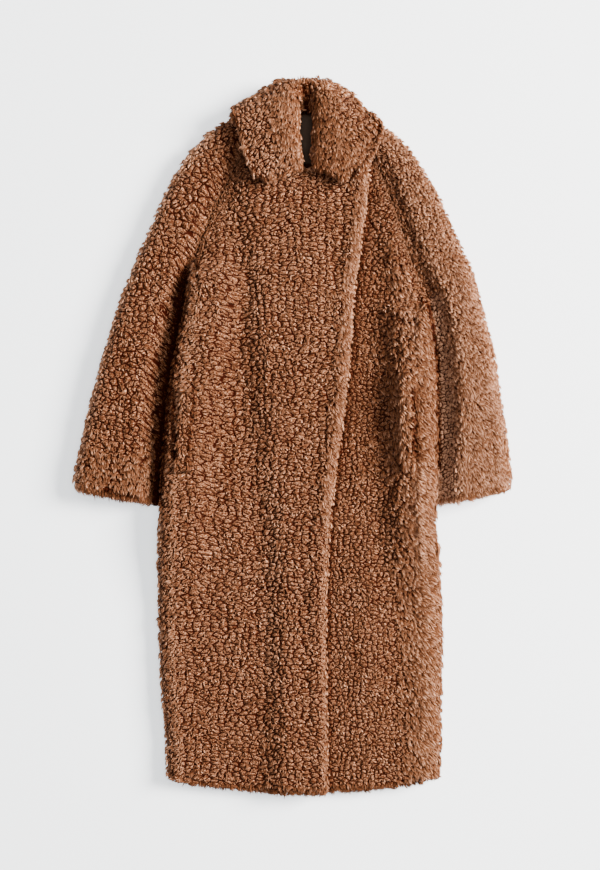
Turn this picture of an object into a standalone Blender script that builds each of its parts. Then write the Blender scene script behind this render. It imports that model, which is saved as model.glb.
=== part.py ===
"""A long raglan coat of curly teddy cloth, laid out flat on its back.

Lengths here are millimetres and become metres when the objects are made. X runs across the
coat, +Y from the hem to the collar and +Z up from the surface that the coat lies on. The
wearer's right front is on -X and lies over the left front. Every piece is a closed wall
between an outer grid of points, where the pile ends, and an inner one, the lining side.
"""
import bpy
import numpy as np

MM = 0.001

# Cloth walls: lining, knitted backing and pile together.
FRONT_WALL = 15.0
BACK_WALL = 12.0        # the pile under the coat is pressed flatter
COLLAR_WALL = 15.0
LINING_WALL = 2.4
REST_GAP = 0.4          # between layers that lie on each other
SEAM_GAP = 0.4          # between two cut edges that are sewn together
AIR = 6.0               # how far the fronts arch above the back
LEAST_ARCH = 3.0        # the same in the deepest folds
LAYERS = BACK_WALL + REST_GAP + FRONT_WALL

# Body
CENTRE_X = 24.0         # centre front, under the collar's slit
HEM_LOW_Y = -608.0
HEM_NOMINAL_Y = -600.0
NECK_Y = 516.0          # where the raglan seams reach the neck
FRONT_NECK_Y = 450.0
BACK_NECK_RISE = 35.0
SIDE_ROLL = 20.0        # half width of the rounded side, at its roundest
UNDERARM_ROLL = 8.0
LEFT_SEAM_IN = 2.0      # side seams, measured in from the rolled sides
RIGHT_SEAM_IN = 18.0
SIDE_SWELL = 4.0

# Sleeves
UNDERARM_LEFT = 295.0   # Y of the viewer's left underarm
UNDERARM_RIGHT = 234.0
CUFF_Y = -115.0
TUCK = 50.0             # how far each sleeve reaches in under the body
TUCK_HEIGHT = 20.0
TUCK_CLEAR = 1.2
OUTER_ROLL = 22.0
INNER_ROLL = 12.0

# The collar's back fall lies under the back panel and lifts it.
COLLAR_LIFT = 12.6
NECK_EASE = 1.6

# Rows of the body, from the hem to the neck, shared by back and fronts.
ROWS = np.array([
    HEM_NOMINAL_Y, -588, -540, -480, -420, -355, -290, -235, -195, -160, -125, -80, -30, 20,
    70, 115, 155, 188, 214, UNDERARM_RIGHT, 242, 268, UNDERARM_LEFT, 303, 335, 370, 405, 440,
    466, 492, NECK_Y])
SLEEVE_ROWS = np.array([CUFF_Y, -105, -85, -50, -10, 30, 70, 110, 145, 175, 205, 235, 265])

# Outlines: (y, x) from the hem up.
SIDE_LEFT = [(-572, -215), (-501, -217), (-433, -224), (-348, -227), (-212, -229), (-118, -225),
             (-25, -220), (52, -213), (171, -193), (UNDERARM_LEFT, -168.8)]
SIDE_RIGHT = [(-572, 254), (-450, 254), (-348, 256), (-212, 251), (-127, 246), (-25, 246),
              (60, 246), (162, 242), (UNDERARM_RIGHT, 228.8)]
RAGLAN_LEFT = [(UNDERARM_LEFT, -169), (363, -142), (434, -108), (492, -81), (NECK_Y, -70)]
RAGLAN_RIGHT = [(UNDERARM_RIGHT, 229), (300, 203), (346, 188), (426, 161), (492, 133),
                (NECK_Y, 119)]
INNER_LEFT = [(CUFF_Y, -229), (-76, -230), (-8, -229), (77, -224), (162, -212), (213, -197),
              (UNDERARM_LEFT, -169.2)]
INNER_RIGHT = [(CUFF_Y, 252), (-84, 250), (-25, 254), (60, 256), (145, 249), (190, 241),
               (UNDERARM_RIGHT, 229.2)]
FRONT_EDGE = [(-600, 60), (-484, 59), (-365, 57), (-254, 59), (-140, 65), (-62, 74), (16, 86),
              (94, 94), (162, 101), (239, 105), (346, 120), (422, 128), (FRONT_NECK_Y, 130)]

# Outer line of each sleeve: (inner y of the station, outer x, outer y).
OUTER_LEFT = [(CUFF_Y, -367, -90), (-80, -371, -58), (-30, -359, -8), (50, -342, 70),
              (130, -318, 155), (213, -290, 240), (UNDERARM_LEFT, -258, 318), (330, -243, 349),
              (363, -229, 386), (398, -207, 431), (434, -180, 474), (466, -142, 512),
              (492, -111, 527), (NECK_Y, -82, 538)]
OUTER_RIGHT = [(CUFF_Y, 368, -90), (-80, 371, -62), (-30, 366, -10), (50, 353, 75),
               (120, 341, 150), (180, 323, 212), (UNDERARM_RIGHT, 306, 272), (290, 284, 328),
               (330, 267, 368), (363, 252, 402), (398, 233, 437), (434, 208, 478),
               (466, 180, 506), (492, 154, 522), (NECK_Y, 126, 538)]
# Height of a sleeve's crown above what it lies on: (inner y, height).
CROWN = [(CUFF_Y, 45), (-50, 48), (60, 50), (234, 48), (363, 46), (434, 44), (466, 40),
         (492, 35), (NECK_Y, 32)]

# Folds: ridges (height above 0) and troughs, each along a straight stretch.
FOLDS = [
    dict(start=(-54, 330), end=(-50, 150), width=38, height=-7),
    dict(start=(-50, 150), end=(-74, 20), width=38, height=-5),
    dict(start=(-128, 300), end=(-126, -40), width=34, height=5),
    dict(start=(50, 40), end=(-22, -127), width=36, height=-6),
    dict(start=(-22, -127), end=(-28, -300), width=38, height=-5),
    dict(start=(-120, -90), end=(-112, -170), width=32, height=4),
    dict(start=(-95, -300), end=(20, -318), width=17, height=2.5),
    dict(start=(-80, -352), end=(30, -366), width=17, height=2.5),
    dict(start=(150, 358), end=(196, 262), width=24, height=6),
    dict(start=(136, 300), end=(142, 170), width=26, height=-5),
    dict(start=(192, 128), end=(196, 30), width=24, height=4),
    dict(start=(133, 94), end=(160, -42), width=26, height=-5),
    dict(start=(160, -42), end=(190, -120), width=26, height=-4),
    dict(start=(120, -220), end=(132, -430), width=36, height=3),
    dict(start=(190, -260), end=(186, -480), width=30, height=-3),
]

# The turned edge of the upper front: distance in from the edge, pile above and lift below.
EDGE_ROLL = [
    dict(inset=36, over=1, under=0),
    dict(inset=24, over=5, under=0),
    dict(inset=13, over=7, under=0),
    dict(inset=5, over=3.5, under=1),
    dict(inset=0, over=-4, under=4),
]

# Pocket welts: the seam they lie along, the span in Y and the width.
WELT_WIDTH = 26.0
WELT_HEIGHT = 9.0
WELT_CLEAR = 1.0
WELT_SPANS = dict(left=(-62, 76), right=(-54, 106))

# The collar, one row for each section round the roll line, from one front end to the other:
# the slit's edge, the depth and height of the stand's foot, the crown's height, then the
# rim, the outermost line seen from above, and the end of the fall.
COLLAR = [
    dict(slit=(15, 449), foot=(3, 53), crown=60, rim=(-38, 433, 60), end=(-66, 441, 57)),
    dict(slit=(16, 474), foot=(20, 44), crown=66, rim=(-56, 461, 62), end=(-78, 469, 58)),
    dict(slit=(13, 508), foot=(40, 37), crown=69, rim=(-70, 506, 62), end=(-89, 509, 56)),
    dict(slit=(13, 530), foot=(40, 37), crown=69, rim=(-88, 531, 60), end=(-104, 540, 52)),
    dict(slit=(13, 550), foot=(40, 37), crown=69, rim=(-99, 558, 42), end=(-92, 554, 16)),
    dict(slit=(14, 568), foot=(38, 37), crown=67, rim=(-71, 576, 32), end=(-50, 526, 5.9)),
    dict(slit=(18, 577), foot=(0, 37), crown=62, rim=(-24, 596, 31), end=(-8, 507, 5.9)),
    dict(slit=(24, 577), foot=(0, 37), crown=60, rim=(24, 595, 30), end=(24, 504, 5.9)),
    dict(slit=(30, 577), foot=(0, 37), crown=62, rim=(70, 595, 31), end=(56, 507, 5.9)),
    dict(slit=(33, 568), foot=(38, 37), crown=67, rim=(108, 573, 32), end=(94, 526, 5.9)),
    dict(slit=(34, 550), foot=(40, 37), crown=69, rim=(136, 552, 42), end=(130, 548, 16)),
    dict(slit=(34, 530), foot=(40, 37), crown=69, rim=(136, 529, 60), end=(151, 537, 52)),
    dict(slit=(35, 508), foot=(40, 37), crown=69, rim=(132, 502, 60), end=(151, 510, 52)),
    dict(slit=(36, 474), foot=(20, 44), crown=67, rim=(113, 463, 62), end=(136, 471, 58)),
    dict(slit=(40, 450), foot=(3, 53), crown=62, rim=(86, 431, 61), end=(114, 441, 57)),
]

PILE_COLOUR = (0.30, 0.135, 0.062, 1.0)
LINING_COLOUR = (0.075, 0.045, 0.030, 1.0)


def step(low, high, value):
    """0 below low, 1 above high, and a smooth rise between them."""
    share = np.clip((np.asarray(value, float) - low) / (high - low), 0.0, 1.0)
    return share * share * (3.0 - 2.0 * share)


def through(points, at):
    """A smooth curve through rows of (position, value, ...), read at the positions given."""
    table = np.array(points, float)
    place, values = table[:, 0], table[:, 1:]
    slopes = np.gradient(values, place, axis=0)
    at = np.clip(np.asarray(at, float), place[0], place[-1])
    left = np.clip(np.searchsorted(place, at, side="right") - 1, 0, len(place) - 2)
    span = (place[left + 1] - place[left])[..., None]
    t = ((at - place[left])[..., None]) / span
    curve = ((2 * t**3 - 3 * t**2 + 1) * values[left]
             + (t**3 - 2 * t**2 + t) * span * slopes[left]
             + (3 * t**2 - 2 * t**3) * values[left + 1]
             + (t**3 - t**2) * span * slopes[left + 1])
    return curve[..., 0] if values.shape[1] == 1 else curve


# ---------------------------------------------------------------- outlines of the body

def raglan(side, y):
    """X of the front raglan seam, above the underarm."""
    return through(RAGLAN_LEFT if side == "left" else RAGLAN_RIGHT, y)


def underarm(side):
    return UNDERARM_LEFT if side == "left" else UNDERARM_RIGHT


def inward(side):
    """+1 or -1: the way along X from a side towards the middle of the coat."""
    return 1.0 if side == "left" else -1.0


def side_line(side, y):
    """X of the body's side below the underarm, and of the raglan seam above it."""
    below = through(SIDE_LEFT if side == "left" else SIDE_RIGHT, y)
    return np.where(np.asarray(y) > underarm(side), raglan(side, y), below)


def roll_width(side, y):
    """Half width of the rounded side; above the underarm, the back raglan seam's inset."""
    distance = np.abs(underarm(side) - np.asarray(y, float))
    return UNDERARM_ROLL + (SIDE_ROLL - UNDERARM_ROLL) * step(0.0, 55.0, distance)


def seam_line(side, y):
    """X of the side seam, which wanders from the underarm onto the front."""
    inset = LEFT_SEAM_IN if side == "left" else RIGHT_SEAM_IN
    drift = inset * step(0.0, 80.0, underarm(side) - np.asarray(y, float))
    below = side_line(side, y) + inward(side) * (roll_width(side, y) + drift)
    return np.where(np.asarray(y) > underarm(side), raglan(side, y), below)


def hem_y(x):
    """The hem sags in the middle and rounds off at both sides."""
    away = np.abs(np.asarray(x, float) - 20.0)
    return HEM_LOW_Y + 18.0 * (away / 200.0) ** 2 + 10.0 * step(212.0, 240.0, away)


def edge_x(y):
    """The upper front's edge, from the hem to the neck."""
    return through(FRONT_EDGE, y)


def hidden_edge_x(y):
    """The lower front's edge, under the upper front."""
    return CENTRE_X - 0.8 * (edge_x(y) - CENTRE_X)


def front_top_y(x, side):
    """The front neckline: high at the raglan seam, low at the centre and beyond it."""
    away = (CENTRE_X - np.asarray(x, float)) * inward(side)
    return through([(0, FRONT_NECK_Y), (19, 461), (54, 494), (90, NECK_Y)], away)


def back_top_y(x):
    away = (np.asarray(x, float) - CENTRE_X) / 74.0
    return NECK_Y + BACK_NECK_RISE * np.clip(1.0 - away**2, 0.0, 1.0)


def at_row(row_y, x, top_y, start=405.0):
    """True Y of a row: rows bend to the hem below and to the neckline above."""
    hem_share = np.clip((-480.0 - row_y) / 120.0, 0.0, 1.0)
    neck_share = np.clip((row_y - start) / (NECK_Y - start), 0.0, 1.0)
    y = row_y + (hem_y(x) - HEM_NOMINAL_Y) * hem_share
    return np.where(neck_share > 0.0, start + neck_share * (top_y - start), y)


# ---------------------------------------------------------------- heights of the layers

def collar_lift(x, y):
    across = 1.0 - step(112.0, 165.0, np.abs(x - CENTRE_X))
    return COLLAR_LIFT * across * step(456.0, 498.0, y)


def tuck_lift(x, y):
    """The body's sides ride up over the sleeves that are tucked under them."""
    lift = 0.0
    for side in ("left", "right"):
        inset = (x - side_line(side, y)) * inward(side)
        arm = underarm(side)
        along = step(-300.0, -132.0, y) * (1.0 - step(arm - 28.0, arm + 3.0, y))
        lift = lift + along * (1.0 - step(56.0, 102.0, inset))
    return (TUCK_HEIGHT + TUCK_CLEAR) * lift


def back_under(x, y):
    """Underside of the back panel."""
    return collar_lift(x, y) + tuck_lift(x, y)


def folds(x, y):
    """Ridges and troughs, each fading out at its ends."""
    total = np.zeros(np.broadcast(x, y).shape)
    for fold in FOLDS:
        start, end = np.array(fold["start"], float), np.array(fold["end"], float)
        line = end - start
        along = ((x - start[0]) * line[0] + (y - start[1]) * line[1]) / line.dot(line)
        near = np.clip(along, 0.0, 1.0)
        gap = np.hypot(x - start[0] - near * line[0], y - start[1] - near * line[1])
        total = total + fold["height"] * np.exp(-(gap / fold["width"]) ** 2)
    return total


def arch(x, y):
    """How far a front stands off the layer below; the collar's weight presses it down."""
    shape = AIR + side_shape(x, y) + folds(x, y)
    return np.maximum(shape, LEAST_ARCH) * (1.0 - 0.8 * step(415.0, 460.0, y))


def neck_ease(y):
    """Slack between layers where the collar's back fall lifts them."""
    return NECK_EASE * step(385.0, 430.0, y)


def side_shape(x, y):
    """The swell along the rolled sides, and the trough along the raglan seams."""
    total = 0.0
    for side in ("left", "right"):
        inset = (x - side_line(side, y)) * inward(side)
        total = total + SIDE_SWELL * np.exp(-((inset - SIDE_ROLL) / 40.0) ** 2)
        rise = np.asarray(y, float) - underarm(side)
        depth = (4.0 + 5.0 * (1.0 - step(0.0, 60.0, rise))) * (rise > 0.0)
        total = total - depth * np.exp(-(inset / 16.0) ** 2)
    return total


def lower_front_top(x, y):
    """Top of the left front, which lies flat where the right front covers it."""
    shown = step(-10.0, 70.0, x - edge_x(y))
    return back_under(x, y) + LAYERS + neck_ease(y) + arch(x, y) * shown


def upper_front_top(x, y):
    """Top of the right front, which steps up over the left front's hidden edge."""
    hidden = hidden_edge_x(y)
    seated = 1.0 - step(-60.0, -10.0, x - edge_x(y))
    covered = 1.0 - step(FRONT_NECK_Y + 3.0, FRONT_NECK_Y + 30.0, y)
    over = (FRONT_WALL + REST_GAP + neck_ease(y)) * step(-52.0, -4.0, x - hidden) * covered
    return back_under(x, y) + LAYERS + neck_ease(y) + over + arch(x, y) * seated


def top_of_coat(x, y):
    """The highest layer at a place near the neck: fronts, or the sleeves beside them."""
    turned = max(row["over"] for row in EDGE_ROLL) * step(-44.0, -24.0, x - edge_x(y))
    upper = (upper_front_top(x, y) + turned) * (x < edge_x(y) + 6.0)
    fronts = np.maximum(upper, lower_front_top(x, y))
    crown = through(CROWN, np.clip(y - 25.0, CUFF_Y, NECK_Y)) + collar_lift(x, y)
    beside = (x < raglan("left", y)) | (x > raglan("right", y))
    return np.where(beside, np.maximum(fronts - 6.0, crown), fronts) + 1.0


# ---------------------------------------------------------------- walls

def shell(outer, inner, keep):
    """A closed wall between two grids of points: vertices and faces.

    keep says which cells exist. Where it is as wide as the grid, the last column of cells
    joins the last points to the first ones.
    """
    rows, columns = outer.shape[:2]
    count = rows * columns
    cells = []
    for i, j in zip(*np.nonzero(keep)):
        following = (j + 1) % columns
        cells.append((i * columns + j, i * columns + following,
                      (i + 1) * columns + following, (i + 1) * columns + j))
    edges = {(cell[k], cell[(k + 1) % 4]) for cell in cells for k in range(4)}
    faces = list(cells)
    faces += [tuple(count + corner for corner in reversed(cell)) for cell in cells]
    for first, second in sorted(edges):
        if (second, first) not in edges:
            faces.append((second, first, first + count, second + count))
    points = np.concatenate([outer.reshape(-1, 3), inner.reshape(-1, 3)])
    used = sorted({corner for face in faces for corner in face})
    number = {corner: place for place, corner in enumerate(used)}
    faces = [tuple(number[corner] for corner in face) for face in faces]
    points = points[used]
    volume = 0.0
    for face in faces:
        for k in range(1, len(face) - 1):
            a, b, c = points[face[0]], points[face[k]], points[face[k + 1]]
            volume += np.dot(a, np.cross(b, c))
    if volume < 0.0:
        faces = [tuple(reversed(face)) for face in faces]
    return points, faces


def full(rows, columns):
    return np.ones((rows - 1, columns - 1), bool)


def grid(x, y, z):
    return np.stack(np.broadcast_arrays(x, y, z), axis=-1).astype(float)


# ---------------------------------------------------------------- the body's pieces

def rolled_side(side, row_y, angles):
    """Outer and inner points of a rolled side, at angles from its top (90) to its foot."""
    y = row_y[:, None]
    edge = side_line(side, y)
    roll = roll_width(side, y)
    inner_roll = np.maximum(1.0, roll - 14.0)
    middle_x = edge + inward(side) * roll
    middle_y = at_row(y, middle_x, NECK_Y)
    top_of = lower_front_top if side == "right" else upper_front_top
    top = top_of(middle_x, middle_y)
    foot = back_under(middle_x, middle_y)
    turn = np.radians(angles)[None, :]
    half = (top - foot) / 2.0
    inner_top, inner_foot = top - FRONT_WALL, foot + BACK_WALL
    inner_half = (inner_top - inner_foot) / 2.0
    outer = grid(middle_x - inward(side) * roll * np.cos(turn), middle_y,
                 foot + half + half * np.sin(turn))
    inner = grid(middle_x - inward(side) * inner_roll * np.cos(turn), middle_y,
                 inner_foot + inner_half + inner_half * np.sin(turn))
    return outer, inner


def back():
    """Back panel: flat below, and wrapped round both sides up to the side seams."""
    y = ROWS[:, None]
    angles = np.array([90.0, 52.0, 18.0, -18.0, -52.0])
    blocks = []
    for side in ("left", "right"):
        outer, inner = rolled_side(side, ROWS, angles)
        top = upper_front_top if side == "left" else lower_front_top
        seam = seam_line(side, y) - inward(side) * SEAM_GAP / 2
        flat_end = side_line(side, y) + inward(side) * roll_width(side, y)
        shares = [1.0] if side == "left" else [1.0, 0.5]
        x = np.concatenate([flat_end + share * (seam - flat_end) for share in shares], axis=1)
        true_y = at_row(y, x, NECK_Y)
        height = top(x, true_y)
        outer = np.concatenate([grid(x, true_y, height), outer], axis=1)
        inner = np.concatenate([grid(x, true_y, height - FRONT_WALL), inner], axis=1)
        blocks.append((outer, inner))
    (left_outer, left_inner), (right_outer, right_inner) = blocks
    share = np.array([0, .045, .085, .125, .165, .205, .26, .35, .5,
                      .65, .74, .795, .835, .875, .915, .955, 1.0])[None, :]
    start = side_line("left", y) + roll_width("left", y)
    end = side_line("right", y) - roll_width("right", y)
    x = start + share * (end - start)
    true_y = at_row(y, x, back_top_y(x), start=492.0)
    under = back_under(x, true_y)
    outer = np.concatenate([left_outer, grid(x, true_y, under), right_outer[:, ::-1]], axis=1)
    inner = np.concatenate([left_inner, grid(x, true_y, under + BACK_WALL),
                            right_inner[:, ::-1]], axis=1)
    keep = full(len(ROWS), outer.shape[1])
    keep[ROWS[:-1] >= UNDERARM_LEFT, :left_outer.shape[1]] = False
    keep[ROWS[:-1] >= UNDERARM_RIGHT, -right_outer.shape[1]:] = False
    return shell(outer, inner, keep)


def soften_hem(outer, inner):
    """The hem's pile rounds off at its lowest row."""
    outer[0, :, 2] -= 5.0
    inner[0, :, 2] += 1.5


def front_right():
    """The wearer's right front, on top, with its turned edge."""
    y = ROWS[:, None]
    start = seam_line("left", y) + SEAM_GAP / 2
    row_edge = edge_x(y)
    inset = np.array([row["inset"] for row in EDGE_ROLL], float)[None, :]
    over = np.array([row["over"] for row in EDGE_ROLL])[None, :]
    below = np.array([row["under"] for row in EDGE_ROLL])[None, :]
    share = np.linspace(0.0, 1.0, 15)[None, :-1]
    plain = start + share * (row_edge - inset[0, 0] - start)
    x = np.concatenate([plain, row_edge - inset], axis=1)
    nothing = np.zeros_like(share)
    over = np.concatenate([nothing, over], axis=1)
    below = np.concatenate([nothing, below], axis=1)
    true_y = at_row(y, x, front_top_y(x, "left"))
    height = upper_front_top(x, true_y)
    outer = grid(x, true_y, height + over)
    inner = grid(x, true_y, height - FRONT_WALL + below)
    soften_hem(outer, inner)
    return shell(outer, inner, full(*outer.shape[:2]))


def front_left():
    """The wearer's left front, which runs on under the right one."""
    y = ROWS[:, None]
    start = hidden_edge_x(y)
    end = seam_line("right", y) - SEAM_GAP / 2
    share = np.array([0, .12, .24, .33, .41, .49, .57, .65, .72, .79, .86, .93, 1.0])[None, :]
    x = start + share * (end - start)
    true_y = at_row(y, x, front_top_y(x, "right"))
    height = lower_front_top(x, true_y)
    outer = grid(x, true_y, height)
    inner = grid(x, true_y, height - FRONT_WALL)
    soften_hem(outer, inner)
    return shell(outer, inner, full(*outer.shape[:2]))


# ---------------------------------------------------------------- sleeves

def sleeve(side):
    """A raglan sleeve: open along both raglan seams above the underarm, a tube below it."""
    arm = underarm(side)
    open_rows = ROWS[ROWS > arm]
    closed_rows = np.append(SLEEVE_ROWS[SLEEVE_ROWS < arm - 20.0], arm)
    stations = np.concatenate([closed_rows, open_rows])
    outer_line = OUTER_LEFT if side == "left" else OUTER_RIGHT
    inner_line = INNER_LEFT if side == "left" else INNER_RIGHT
    sections = []
    for y in stations:
        tip = through(outer_line, y)
        crown = float(through(CROWN, y))
        if y > arm:
            sections.append(open_section(side, y, tip, crown))
        else:
            root = np.array([float(through(inner_line, y)), y])
            sections.append(closed_section(side, root, tip, crown))
    outer = np.array([section[0] for section in sections])
    inner = np.array([section[1] for section in sections])
    keep = np.ones((len(stations) - 1, outer.shape[1]), bool)
    keep[len(closed_rows) - 1:, -1] = False
    return shell(outer, inner, keep)


TOP_SHARES = np.array([0, .1, .2, .29, .38, .46, .55, .66, .8, 1.0])
UNDER_SHARES = np.array([1.0, .78, .56, .36, .18, 0])
OUTER_ANGLES = np.array([62.0, 32.0, 0.0, -32.0, -62.0])
INNER_ANGLES = np.array([16.0, 58.0])


def walls(height):
    """Upper and lower wall of a sleeve this high: pressed thinner where it is low."""
    upper = np.minimum(FRONT_WALL, 0.55 * (height - REST_GAP))
    lower = np.minimum(BACK_WALL, 0.45 * (height - REST_GAP))
    return upper, lower


def section_points(tip, way, reach, top, under):
    """Outer and inner points of one sleeve section, from its inner end over the crown.

    Each of top and under is (distance from the outer tip, height above the floor below it).
    """
    def place(distance, height):
        xy = tip[None, :] + way[None, :] * distance[:, None]
        base = collar_lift(xy[:, 0], xy[:, 1])
        return np.column_stack([xy, base + height])

    upper, lower = walls(top[1])
    top_outer = place(*top)
    top_inner = place(top[0], top[1] - upper)
    roll_height = top[1][-1]
    upper, lower = walls(roll_height)
    turn = np.radians(OUTER_ANGLES)
    inner_reach = max(1.0, reach - 13.0)
    half = roll_height / 2.0
    inner_half = (roll_height - upper - lower) / 2.0
    roll_outer = place(reach - reach * np.cos(turn), half + half * np.sin(turn))
    roll_inner = place(reach - inner_reach * np.cos(turn),
                       lower + inner_half + inner_half * np.sin(turn))
    lower = walls(under[1])[1]
    under_outer = place(under[0], np.zeros(len(under[0])))
    under_inner = place(under[0], lower)
    return (np.concatenate([top_outer, roll_outer, under_outer]),
            np.concatenate([top_inner, roll_inner, under_inner]))


def top_profile(distance, width, crown, low):
    """Height over the section: low where it meets the body, and up to the crown."""
    rise = min(34.0, 0.4 * width)
    return low + (crown - low) * step(0.0, rise, width - distance)


def open_section(side, y, tip, crown):
    """Above the underarm: from the front raglan seam round to the back one."""
    seam_x = float(raglan(side, y))
    root = np.array([seam_x - inward(side) * SEAM_GAP / 2, y])
    width = np.hypot(*(root - tip))
    way = (root - tip) / width
    reach = min(OUTER_ROLL, 0.3 * width)
    close = min(6.0, 0.06 * width)
    depth = 4.0 + 5.0 * (1.0 - float(step(0.0, 60.0, y - underarm(side))))
    low = LAYERS + AIR + 3.0 - depth
    start = width - 2.0 * close
    distance = np.concatenate([[width, width - close], start + TOP_SHARES * (reach - start)])
    height = top_profile(distance, width, crown, low)
    under_distance = np.concatenate([reach + (1 - UNDER_SHARES) * (start - reach),
                                     [width - close, width]])
    under_height = top_profile(under_distance, width, crown, low)
    outer, inner = section_points(tip, way, reach, (distance, height),
                                  (under_distance, under_height))
    # The back raglan seam lies further in than the front one.
    count = len(under_distance)
    share = ((under_distance - reach) / (width - reach))[:, None]
    back_inset = inward(side) * float(roll_width(side, y))
    for points in (outer, inner):
        points[-count:, 0] += share[:, 0] * back_inset
    return outer, inner


def closed_section(side, root, tip, crown):
    """Below the underarm: a tube whose inner part lies low under the body's side."""
    arm = underarm(side)
    tuck = TUCK * float(step(0.0, 90.0, arm - 27.0 - root[1]))
    width = np.hypot(*(root - tip))
    way = (root - tip) / width
    centre = width + tuck - INNER_ROLL
    distance = centre + TOP_SHARES * (OUTER_ROLL - centre)
    height = top_profile(distance, width, crown, TUCK_HEIGHT)
    under_distance = OUTER_ROLL + (1 - UNDER_SHARES) * (centre - OUTER_ROLL)
    under_height = top_profile(under_distance, width, crown, TUCK_HEIGHT)
    outer, inner = section_points(tip, way, OUTER_ROLL, (distance, height),
                                  (under_distance, under_height))
    # The inner roll joins the top to the underside.
    roll_height = height[0]
    upper, lower = walls(roll_height)
    inner_half = (roll_height - upper - lower) / 2.0
    turn = np.radians(np.concatenate([INNER_ANGLES, -INNER_ANGLES[::-1]]))
    base = float(collar_lift(root[0], root[1]))

    def arc(radius, foot, half):
        xy = tip[None, :] + way[None, :] * (centre + radius * np.cos(turn))[:, None]
        return np.column_stack([xy, base + foot + half + half * np.sin(turn)])

    outer_arc = arc(INNER_ROLL, 0.0, roll_height / 2.0)
    inner_arc = arc(1.0, lower, inner_half)
    outer = np.concatenate([outer_arc[:2], outer, outer_arc[2:]])
    inner = np.concatenate([inner_arc[:2], inner, inner_arc[2:]])
    return outer, inner


# ---------------------------------------------------------------- collar and small pieces

def collar_path(row):
    """Middle line of one section of the collar, from the stand's foot to the fall's end."""
    slit = np.array(row["slit"], float)
    rim = np.array(row["rim"][:2], float)
    way = (slit - rim) / np.hypot(*(slit - rim))
    half = COLLAR_WALL / 2.0
    reach, foot_z = row["foot"]
    crown = row["crown"]
    end = np.array(row["end"], float)
    rim_z = row["rim"][2]
    wrapped = end[2] < 30.0
    rim_in = rim + way * (half if wrapped else 0.0)
    crown_at = slit - way * 22.0
    middle = (crown_at + rim_in) / 2.0
    foot = slit - way * reach if reach > 0.0 else slit + np.array([0.0, -24.0])
    return np.array([
        (*foot, foot_z),
        (*(slit - way * half), (foot_z + crown) / 2.0 + 2.0),
        (*crown_at, crown),
        (*middle, (crown + rim_z) / 2.0 + (7.0 if wrapped else 1.5)),
        (*rim_in, rim_z),
        (*((rim_in * 0.7 + end[:2] * 0.3)), 7.5 if end[2] < 10.0 else (rim_z + end[2]) / 2.0),
        tuple(end),
    ])


def collar():
    """Collar: a stand inside the slit, rolled over and down to the fall's outer edge."""
    paths = np.array([collar_path(row) for row in COLLAR])
    sections, points = paths.shape[:2]
    across = np.linspace(0, sections - 1, 3 * (sections - 1) + 1)
    down = np.concatenate([np.linspace(0, 2, 7)[:-1], np.linspace(2, points - 1, 13)])
    table = np.column_stack([np.arange(sections), paths.reshape(sections, -1)])
    wide = through(table, across).reshape(len(across), points, 3)
    fine = []
    for path in wide:
        fine.append(through(np.column_stack([np.arange(points), path]), down))
    middle = np.array(fine)
    along_u = np.gradient(middle, axis=0)
    along_v = np.gradient(middle, axis=1)
    normal = np.cross(along_v, along_u)
    normal /= np.linalg.norm(normal, axis=2, keepdims=True)
    wall = COLLAR_WALL + (BACK_WALL - COLLAR_WALL) * step(4.0, 5.2, down)[None, :, None] \
        * (middle[:, -1:, 2:3] < 30.0)
    outer = middle + normal * wall / 2.0
    inner = middle - normal * wall / 2.0
    # The fall rests on what lies under it, and the back fall on the floor.
    lowest = np.minimum(outer[..., 2], inner[..., 2])
    is_fall = (down[None, :] >= 2.0) & (middle[..., 2] > 45.0)
    beneath = top_of_coat(middle[..., 0], middle[..., 1]) + REST_GAP
    raised = np.where(is_fall, np.maximum(beneath - lowest, 0.0), np.maximum(-lowest, 0.0))
    outer[..., 2] += raised
    inner[..., 2] += raised
    return shell(outer, inner, full(*outer.shape[:2]))


def welt(side):
    """Pocket welt, laid on the front along the side seam from the front's own points."""
    low, high = WELT_SPANS[side]
    y = np.linspace(low, high, 9)[:, None]
    share = np.array([0.0, 0.12, 0.5, 0.88, 1.0])[None, :]
    bulge = np.array([0.35, 0.85, 1.0, 0.85, 0.35])[None, :]
    ends = np.sin(np.linspace(0.12, 1.0 - 0.12, 9) * np.pi)[:, None] ** 0.3
    x = seam_line(side, y) + inward(side) * (1.5 + WELT_WIDTH * share)
    top = upper_front_top if side == "left" else lower_front_top
    base = top(x, y) + WELT_CLEAR
    outer = grid(x, y, base + WELT_HEIGHT * bulge * ends)
    inner = grid(x, y, base)
    return shell(outer, inner, full(*outer.shape[:2]))


def neck_lining():
    """Lining of the back neck, seen down through the collar's slit."""
    y = np.linspace(464.0, 546.0, 8)[:, None]
    half = 10.0 + 30.0 * step(464.0, 520.0, y)
    x = CENTRE_X + half * np.linspace(-1.0, 1.0, 7)[None, :]
    top = back_under(x, np.maximum(y, 0.0)) + BACK_WALL + 3 * REST_GAP
    return shell(grid(x, y, top + LINING_WALL), grid(x, y, top), full(8, 7))


# ---------------------------------------------------------------- objects

def material(name, colour, roughness):
    made = bpy.data.materials.new(name)
    made.use_nodes = True
    shader = made.node_tree.nodes["Principled BSDF"]
    shader.inputs["Base Color"].default_value = colour
    shader.inputs["Roughness"].default_value = roughness
    shader.inputs["Metallic"].default_value = 0.0
    made.diffuse_color = colour
    return made


def add(name, solid, offset, finish, collection):
    points, faces = solid
    mesh = bpy.data.meshes.new(name)
    mesh.from_pydata(((points - offset) * MM).tolist(), [], faces)
    mesh.validate()
    mesh.shade_smooth()
    mesh.set_sharp_from_angle(angle=np.radians(50.0))
    piece = bpy.data.objects.new(name, mesh)
    piece.data.materials.append(finish)
    collection.objects.link(piece)
    return piece


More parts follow.
